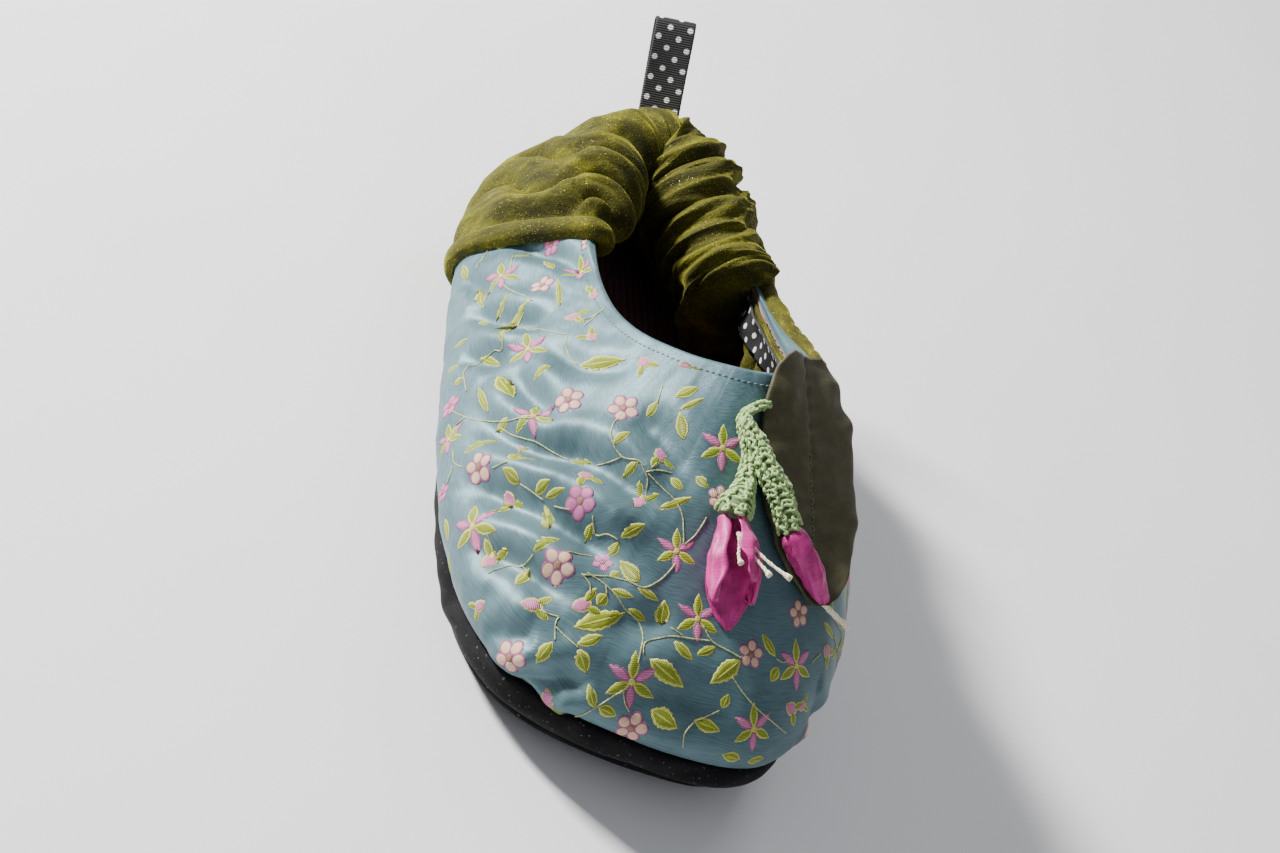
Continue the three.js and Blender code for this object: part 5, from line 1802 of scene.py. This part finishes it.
@dataclass
class Track:
    """A smooth line over the wall, read by the length walked along it."""

    wall: Wall
    places: Places

    def read(self, distance: Array) -> tuple[Array, Array]:
        """Turns and heights at distances from the start."""
        spots = catmull(np.array(self.places), np.linspace(0, 1, 61))
        points = self.wall.bare(spots[:, 0], spots[:, 1])
        passed = walked(points)
        slope = (spots[-1] - spots[-2]) / (passed[-1] - passed[-2])
        beyond = np.maximum(distance - passed[-1], 0)
        return tuple(np.interp(distance, passed, spots[:, axis]) + beyond * slope[axis] for axis in (0, 1))


@dataclass
class CrochetStem:
    """Round stem worked in rings of crochet stitches, with a soft core."""

    bench: Bench
    name: str
    track: Track
    length: float
    rows: Array
    lifted: float
    full_radius: float = 2.6
    yarn: float = 0.47
    round_rise: float = 1.7

    def middle(self, along: Array) -> tuple[Array, Array, Array]:
        """Middle line, its radius and the wall's normal at shares of the length."""
        wall = self.bench.wall
        turn, height = self.track.read(along * self.length)
        radius = self.full_radius * through(self.rows, along)
        _, _, _, normal = wall.rates(turn, height)
        return wall.laid(turn, height, self.lifted + radius), radius, normal

    def build(self, material: Material, slot_nodes: tuple[str, ...]) -> None:
        """Winds the yarn round the core in stitches."""
        core_share = np.linspace(0, 1, 40)
        middle, radius, _ = self.middle(core_share)
        parts = []
        points, cloth = self.bench.tube_points(middle, np.maximum(radius - self.yarn * 1.2, 0.3), 14)
        # The core's shade of 0.1 paints it dark: painted shade between the rounds of yarn
        parts.append((points, cloth, 0.1))
        rounds, per_round = self.length / self.round_rise, 6
        count = int(rounds * per_round * 10)
        share = np.linspace(0.0, 1.0, count)
        phase = share * rounds * per_round * math.tau
        along = np.clip(share + 1.0 / self.length * np.sin(phase) + 0.012 * np.sin(phase * 0.37), 0, 1)
        angle = share * rounds * math.tau + 0.44 * np.cos(phase) + 0.16 * np.sin(phase * 0.23)
        middle, radius, _ = self.middle(along)
        spine, _, _ = self.middle(core_share)
        side, out = carry_frame(spine)
        side = unit(np.stack([np.interp(along, core_share, side[:, axis]) for axis in range(3)], axis=-1))
        out = unit(np.stack([np.interp(along, core_share, out[:, axis]) for axis in range(3)], axis=-1))
        reach = radius - self.yarn * 0.5 + 0.34 * np.sin(phase + 0.6) + 0.2 * np.sin(phase * 0.31)
        path = middle + side * (np.cos(angle) * reach)[:, None] + out * (np.sin(angle) * reach)[:, None]
        points, cloth = self.bench.tube_points(path, self.yarn, 6)
        parts.append((points, cloth, 1.0))
        stem = self.bench.join(self.name, parts)
        self.bench.finish(stem, material, "crochet", *slot_nodes)


@dataclass(frozen=True)
class Petal:
    """One silk petal of the open flower."""

    angle: float
    length: float
    width: float
    opening: float
    curl: float
    twist: float
    seed: int


PETALS: tuple[Petal, ...] = (
    Petal(angle=-78, length=23, width=9.5, opening=0.36, curl=-0.2, twist=-0.2, seed=41),
    Petal(angle=-130, length=21, width=12, opening=0.14, curl=0.02, twist=0.3, seed=42),
    Petal(angle=52, length=18, width=12, opening=0.36, curl=-0.3, twist=0.4, seed=43),
    Petal(angle=112, length=22, width=12, opening=0.26, curl=-0.14, twist=-0.3, seed=46),
    Petal(angle=172, length=28, width=15, opening=0.12, curl=0.06, twist=-0.3, seed=44),
)


# Half width of a petal along its length
PETAL_WIDTH = np.array([
    (0, 0.42), (0.15, 0.66), (0.35, 0.92), (0.55, 1), (0.75, 0.86), (0.9, 0.52), (1, 0.12),
])


@dataclass
class OpenFlower:
    """Fuchsia flower of creased silk petals with three stamens."""

    bench: Bench
    stem: CrochetStem
    petals: tuple[Petal, ...] = PETALS
    thickness: float = 0.8
    lean: float = 0.5

    def axes(self) -> tuple[Array, Array, Array, Array]:
        """Start of the flower and the directions ahead, away from the wall and sideways."""
        middle, _, normal = self.stem.middle(np.array([0.9, 1.0]))
        along_stem = unit(middle[1] - middle[0])
        ahead = unit(along_stem + self.lean * unit(np.cross(normal[1], along_stem)))
        side = unit(np.cross(normal[1], ahead))
        return middle[1] + along_stem * self.bench.wall.clearance, ahead, unit(np.cross(ahead, side)), side

    def _petal(self, petal: Petal, clear: "Clearing") -> Grids:
        """Closed thin solid of one petal."""
        start, ahead, out, side = self.axes()
        rows, columns = 34, 25
        along = np.linspace(0, 1, rows)[:, None]
        across = np.linspace(-1, 1, columns)[None, :]
        angle = math.radians(petal.angle)
        radial = out * math.cos(angle) + side * math.sin(angle)
        tangent = np.cross(ahead, radial)
        half = petal.width / 2 * through(PETAL_WIDTH, along[:, 0])[:, None]
        reach = petal.length * along
        open_out = 3.4 + petal.length * (petal.opening * along**1.3 + petal.curl * along**3)
        cup = 0.42 * (1 - 0.7 * along)
        bend = across * half
        waves = np.abs(np.sin(across * 3.4 + petal.seed + 1.2 * along))
        crease = 0.75 * waves**0.8 * smooth(along, 0.05, 0.5)
        crumple = 0.5 * ripple(along * 3.2, across * 1.6, petal.seed) * smooth(along, 0.1, 0.5)
        edge = 0.7 * np.sin(along * 11 + petal.seed) * np.abs(across) ** 3
        lift = open_out - cup * bend**2 / np.maximum(half, 1) + crease + crumple + edge
        sideways = bend * (1 - 0.12 * np.abs(across)) + petal.twist * along**2 * 5
        middle = start + reach[..., None] * ahead + lift[..., None] * radial + sideways[..., None] * tangent
        normal = unit(np.cross(np.gradient(middle, axis=0), np.gradient(middle, axis=1)))
        rim = np.sqrt(np.clip(1 - np.abs(across) ** 8, 0.02, 1)) * np.sqrt(np.clip(1 - along**14, 0.02, 1))
        half_thick = (self.thickness / 2 * rim)[..., None]
        above, under = (clear.push(middle + way * half_thick * normal).swapaxes(0, 1) for way in (1, -1))
        loops = shut(above, under, above).swapaxes(0, 1)
        width = np.concatenate([across[0], across[0, ::-1], across[0, :1]]) * petal.width / 2
        passed = np.concatenate([[0], along[:, 0], [1]]) * petal.length
        cloth = pairs(width[None, :] + petal.seed * 40.0, passed[:, None])
        return [(loops, cloth, 0.5)]

    def build(self, silk: Material, thread: Material, clear: "Clearing") -> None:
        """Makes the petals, then the stamens."""
        parts = [part for petal in self.petals for part in self._petal(petal, clear)]
        flower = self.bench.join("silk_open_flower", parts)
        self.bench.finish(flower, silk, "petal_silk", "open_flower")
        start, ahead, out, side = self.axes()
        spreads = ((-0.1, 0.35, 0.5), (0.75, 0.5, 0.95), (0.4, 0.4, 0.75))
        for number, (sideways, outward, share) in enumerate(spreads, 1):
            direction = unit(ahead + side * sideways + out * outward)
            root = start + ahead * 5.0 + out * 3.0
            place = np.linspace(0, 1, 26)
            sway = (0.7 * np.sin(place * 5 + number)[:, None] * side
                    + 0.4 * np.cos(place * 4 + number)[:, None] * out)
            path = root + direction * (19.0 * share * place)[:, None] + sway * place[:, None]
            radius = 0.45 + 0.08 * np.sin(place * 40) + 0.35 * smooth(place, 0.86, 0.93)
            stamen = self.bench.tube(f"stamen_thread_{number}", path, radius, 10)
            self.bench.finish(stamen, thread, "stamen_thread", f"stamen_{number}")


class Clearing:
    """Keeps loose cloth off the wall below it."""

    def __init__(self, wall: Wall, turns: tuple[float, float], margin: float = 0.4) -> None:
        """Samples the creased wall between two turns."""
        turn, height = np.meshgrid(np.linspace(*turns, 160), np.linspace(0.05, 1.0, 110), indexing="ij")
        self.points = wall.laid(turn, height, 0.0).reshape(-1, 3)
        self.normals = wall.rates(turn, height)[3].reshape(-1, 3)
        self.margin = margin
        self.ease = 0.8
        self.tree = KDTree(len(self.points))
        for index, point in enumerate(self.points):
            self.tree.insert(point, index)
        self.tree.balance()

    def push(self, points: Array) -> Array:
        """Points moved outward where they come nearer to the wall than the margin."""
        flat = points.reshape(-1, 3).copy()
        for index, point in enumerate(flat):
            _, nearest, _ = self.tree.find(point)
            above = float((point - self.points[nearest]) @ self.normals[nearest])
            if above < self.margin + self.ease:
                moved = self.margin + self.ease * math.exp((above - self.margin) / self.ease - 1)
                flat[index] += self.normals[nearest] * max(0.0, moved - above)
        return flat.reshape(points.shape)


# Radius of the bud along its length
BUD_PROFILE = np.array([
    (0, 0.8), (0.08, 0.98), (0.2, 1), (0.55, 0.95), (0.85, 0.66), (0.96, 0.5), (1, 0.36),
])


@dataclass
class Bud:
    """Closed bud of wrapped silk with one waxed stamen."""

    bench: Bench
    track: Track
    stem_length: float
    length: float = 21.0
    radius: float = 3.4
    gap: float = 0.7
    stamen_length: float = 15.0
    lifted: float = 2.4

    def build(self, silk: Material, thread: Material) -> None:
        """Wraps the silk round the bud in turned folds, then lays the stamen."""
        wall = self.bench.wall
        along = np.linspace(0, 1, 60)
        turn, height = self.track.read(self.stem_length + self.gap + along * self.length)
        radius = self.radius * through(BUD_PROFILE, along)
        middle = wall.laid(turn, height, self.lifted + radius)
        side, out = carry_frame(middle)
        angle = np.linspace(0, math.tau, 49)
        turned = angle[None, :] + 1.1 * along[:, None]
        folds = 1 + 0.085 * np.abs(np.sin(turned * 2.5)) - 0.05 * np.cos(turned * 7 + along[:, None] * 5)
        folds = folds + 0.03 * np.sin(along[:, None] * 31 + turned)
        step = 0.1 * smooth(np.mod(turned / math.tau, 1.0), 0.0, 0.9)
        reach = radius[:, None] * (folds + step - 0.08)
        reach[:, -1] = reach[:, 0]
        sideways, outward = (np.cos(angle) * reach)[..., None], (np.sin(angle) * reach)[..., None]
        loops = middle[:, None] + side[:, None] * sideways + out[:, None] * outward
        tip = middle[-1] - unit(middle[-1] - middle[-2]) * 1.6
        loops = np.concatenate([np.repeat(middle[:1, None], 49, 1), loops,
                                np.repeat(tip[None, None], 49, 1)])
        passed = np.concatenate([[0], along, [1]]) * self.length
        cloth = pairs(angle[None, :] * self.radius, passed[:, None])
        bud = self.bench.grid("silk_bud", loops, cloth)
        self.bench.finish(bud, silk, "petal_silk", "bud")
        start = self.stem_length + 2 * self.gap + self.length - 1.2
        place = np.linspace(0, 1, 24)
        turn, height = self.track.read(start + place * (self.stamen_length + 1.2))
        radius = 0.8 + 0.08 * np.sin(place * 30) + 0.3 * smooth(place, 0.75, 0.88)
        radius = radius - 0.1 * smooth(place, 0.95, 1)
        path = wall.laid(turn, height, self.lifted + 0.8 + 0 * place)
        stamen = self.bench.tube("bud_stamen_thread", path, radius, 12)
        self.bench.finish(stamen, thread, "stamen_thread", "bud_stamen")


@dataclass
class Studio:
    """Pale floor, soft light and the camera at the photograph's angle."""

    place: Triple = (0.5665355, -0.2558285, 0.438923)
    right: Triple = (0.04497345, 0.87420192, 0.48347533)
    up: Triple = (-0.65267016, -0.34068416, 0.67672444)
    back: Triple = (0.75630619, -0.34598455, 0.55524376)
    lens: float = 73.125

    def camera(self) -> None:
        """Camera with the photograph's viewing angle and roll."""
        data = bpy.data.cameras.new("view")
        data.lens = self.lens
        data.sensor_width = 36.0
        data.clip_start, data.clip_end = 0.01, 20.0
        camera = bpy.data.objects.new("view", data)
        bpy.context.scene.collection.objects.link(camera)
        turned = Matrix((self.right, self.up, self.back)).transposed().to_4x4()
        camera.matrix_world = Matrix.Translation(Vector(self.place)) @ turned
        bpy.context.scene.camera = camera

    def lights(self) -> None:
        """A large window-like key, a broad fill, a low rim and a pale surround."""
        for name, at, size, power, colour in (
            ("key", (-0.62, -1.15, 0.78), 0.22, 86.0, (1.0, 0.975, 0.94)),
            ("fill", (1.2, 0.4, 1.0), 1.4, 3.0, (0.9, 0.95, 1.0)),
            ("rim", (-0.9, 0.5, 0.9), 0.5, 4.0, (1.0, 0.99, 0.97)),
        ):
            data = bpy.data.lights.new(name, "AREA")
            data.energy, data.size, data.color = power, size, colour
            lamp = bpy.data.objects.new(name, data)
            bpy.context.scene.collection.objects.link(lamp)
            aim = Vector((0.0, 0.0, 0.03)) - Vector(at)
            turned = aim.to_track_quat("-Z", "Y").to_matrix().to_4x4()
            lamp.matrix_world = Matrix.Translation(Vector(at)) @ turned
        world = bpy.data.worlds.new("surround")
        world.use_nodes = True
        world.node_tree.nodes["Background"].inputs["Color"].default_value = (0.93, 0.95, 1.0, 1.0)
        world.node_tree.nodes["Background"].inputs["Strength"].default_value = 0.31
        bpy.context.scene.world = world

    def floor(self, bench: Bench) -> None:
        """Plain pale floor."""
        bench.deselect()
        bpy.ops.mesh.primitive_plane_add(size=6.0)
        ground = bpy.context.object
        ground.name = "floor"
        desk = Desk("pale_floor")
        cloud = desk.noise(desk.place((1.0, 1.0, 1.0)), 9.0, 3.0)
        colour = desk.mix(cloud, (0.82, 0.82, 0.84), (0.88, 0.88, 0.9))
        ground.data.materials.append(desk.dress(Base_Color=colour, Roughness=0.6 + 0.2 * cloud))


# Where the crocheted stems lie on the wall, and their radius as a share of the full one
OPEN_PLACES = (
    (0.528, 0.942), (0.508, 0.934), (0.4945, 0.908), (0.503, 0.87), (0.513, 0.83), (0.5135, 0.785),
    (0.509, 0.745), (0.5055, 0.7), (0.513, 0.6), (0.53, 0.5),
)
BUD_PLACES = (
    (0.4945, 0.905), (0.506, 0.88), (0.519, 0.852), (0.53, 0.814), (0.543, 0.768), (0.552, 0.71),
    (0.565, 0.644), (0.58, 0.57), (0.604, 0.48),
)
OPEN_STEM = np.array([(0, 0.45), (0.35, 0.42), (0.55, 0.6), (0.7, 0.95), (0.85, 1.45), (0.94, 1.72),
                      (1, 1.75)])
BUD_STEM = np.array([(0, 0.5), (0.2, 0.8), (0.4, 1.05), (0.75, 1.25), (1, 1.15)])
OPEN_LENGTH, BUD_LENGTH = 37.0, 31.0


def main() -> None:
    """Builds the slipper from the sole up, then the studio."""
    logging.basicConfig(level=logging.INFO, format="%(name)s %(message)s")
    wall = Wall()
    bench = Bench(wall)
    studio = Studio()
    studio.camera()
    studio.lights()
    studio.floor(bench)

    velvet = CrushedVelvet().make()
    lining = RibbedLining().make()
    grosgrain = DottedGrosgrain().make()
    fuchsia = SlubSilk("fuchsia_silk", (0.24, 0.002, 0.085), (0.6, 0.02, 0.27), 0.42, 0.2).make()
    leaf_silk = SlubSilk("leaf_silk", (0.03, 0.027, 0.007), (0.062, 0.057, 0.018), 0.6, 0.08).make()
    cream = Thread("cream_thread", (0.6, 0.52, 0.32), (0.88, 0.82, 0.62)).make()
    green = Thread("green_yarn", (0.04, 0.09, 0.018), (0.36, 0.54, 0.19), paints_core_shade=True).make()
    leaf_thread = Thread("leaf_thread", (0.05, 0.07, 0.02), (0.12, 0.15, 0.05)).make()

    suede = BlackVelvet("outsole_suede", sheen=0.03, grain=2.4).make()
    Sole(bench).build(suede, BlackVelvet().make(), lining)
    brocade = Brocade().make()
    Upper(bench).build(brocade, RibbedLining(on_wall=True).make())
    Embroidery(bench).build(SatinStitch().make())
    Topstitch(bench).build(Thread("teal_thread", (0.04, 0.08, 0.09), (0.12, 0.2, 0.22)).make())
    seams = Seams(wall)
    HeelPiece(bench, seams).build(velvet)
    InnerCollar(bench, seams).build(velvet, grosgrain, brocade)
    PullLoop(bench).build(grosgrain)
    Leaf(bench).build(leaf_silk, leaf_thread)
    open_track = Track(wall, OPEN_PLACES)
    open_stem = CrochetStem(bench, "crochet_open_stem", open_track, OPEN_LENGTH, OPEN_STEM, wall.clearance)
    open_stem.build(green, ("open_flower_stem",))
    clear = Clearing(wall, (0.38, 0.66))
    OpenFlower(bench, open_stem).build(fuchsia, cream, clear)
    bud_track = Track(wall, BUD_PLACES)
    CrochetStem(bench, "crochet_bud_stem", bud_track, BUD_LENGTH, BUD_STEM, 2.4).build(green, ("bud_stem",))
    Bud(bench, bud_track, BUD_LENGTH).build(fuchsia, cream)


if __name__ == "__main__":
    main()
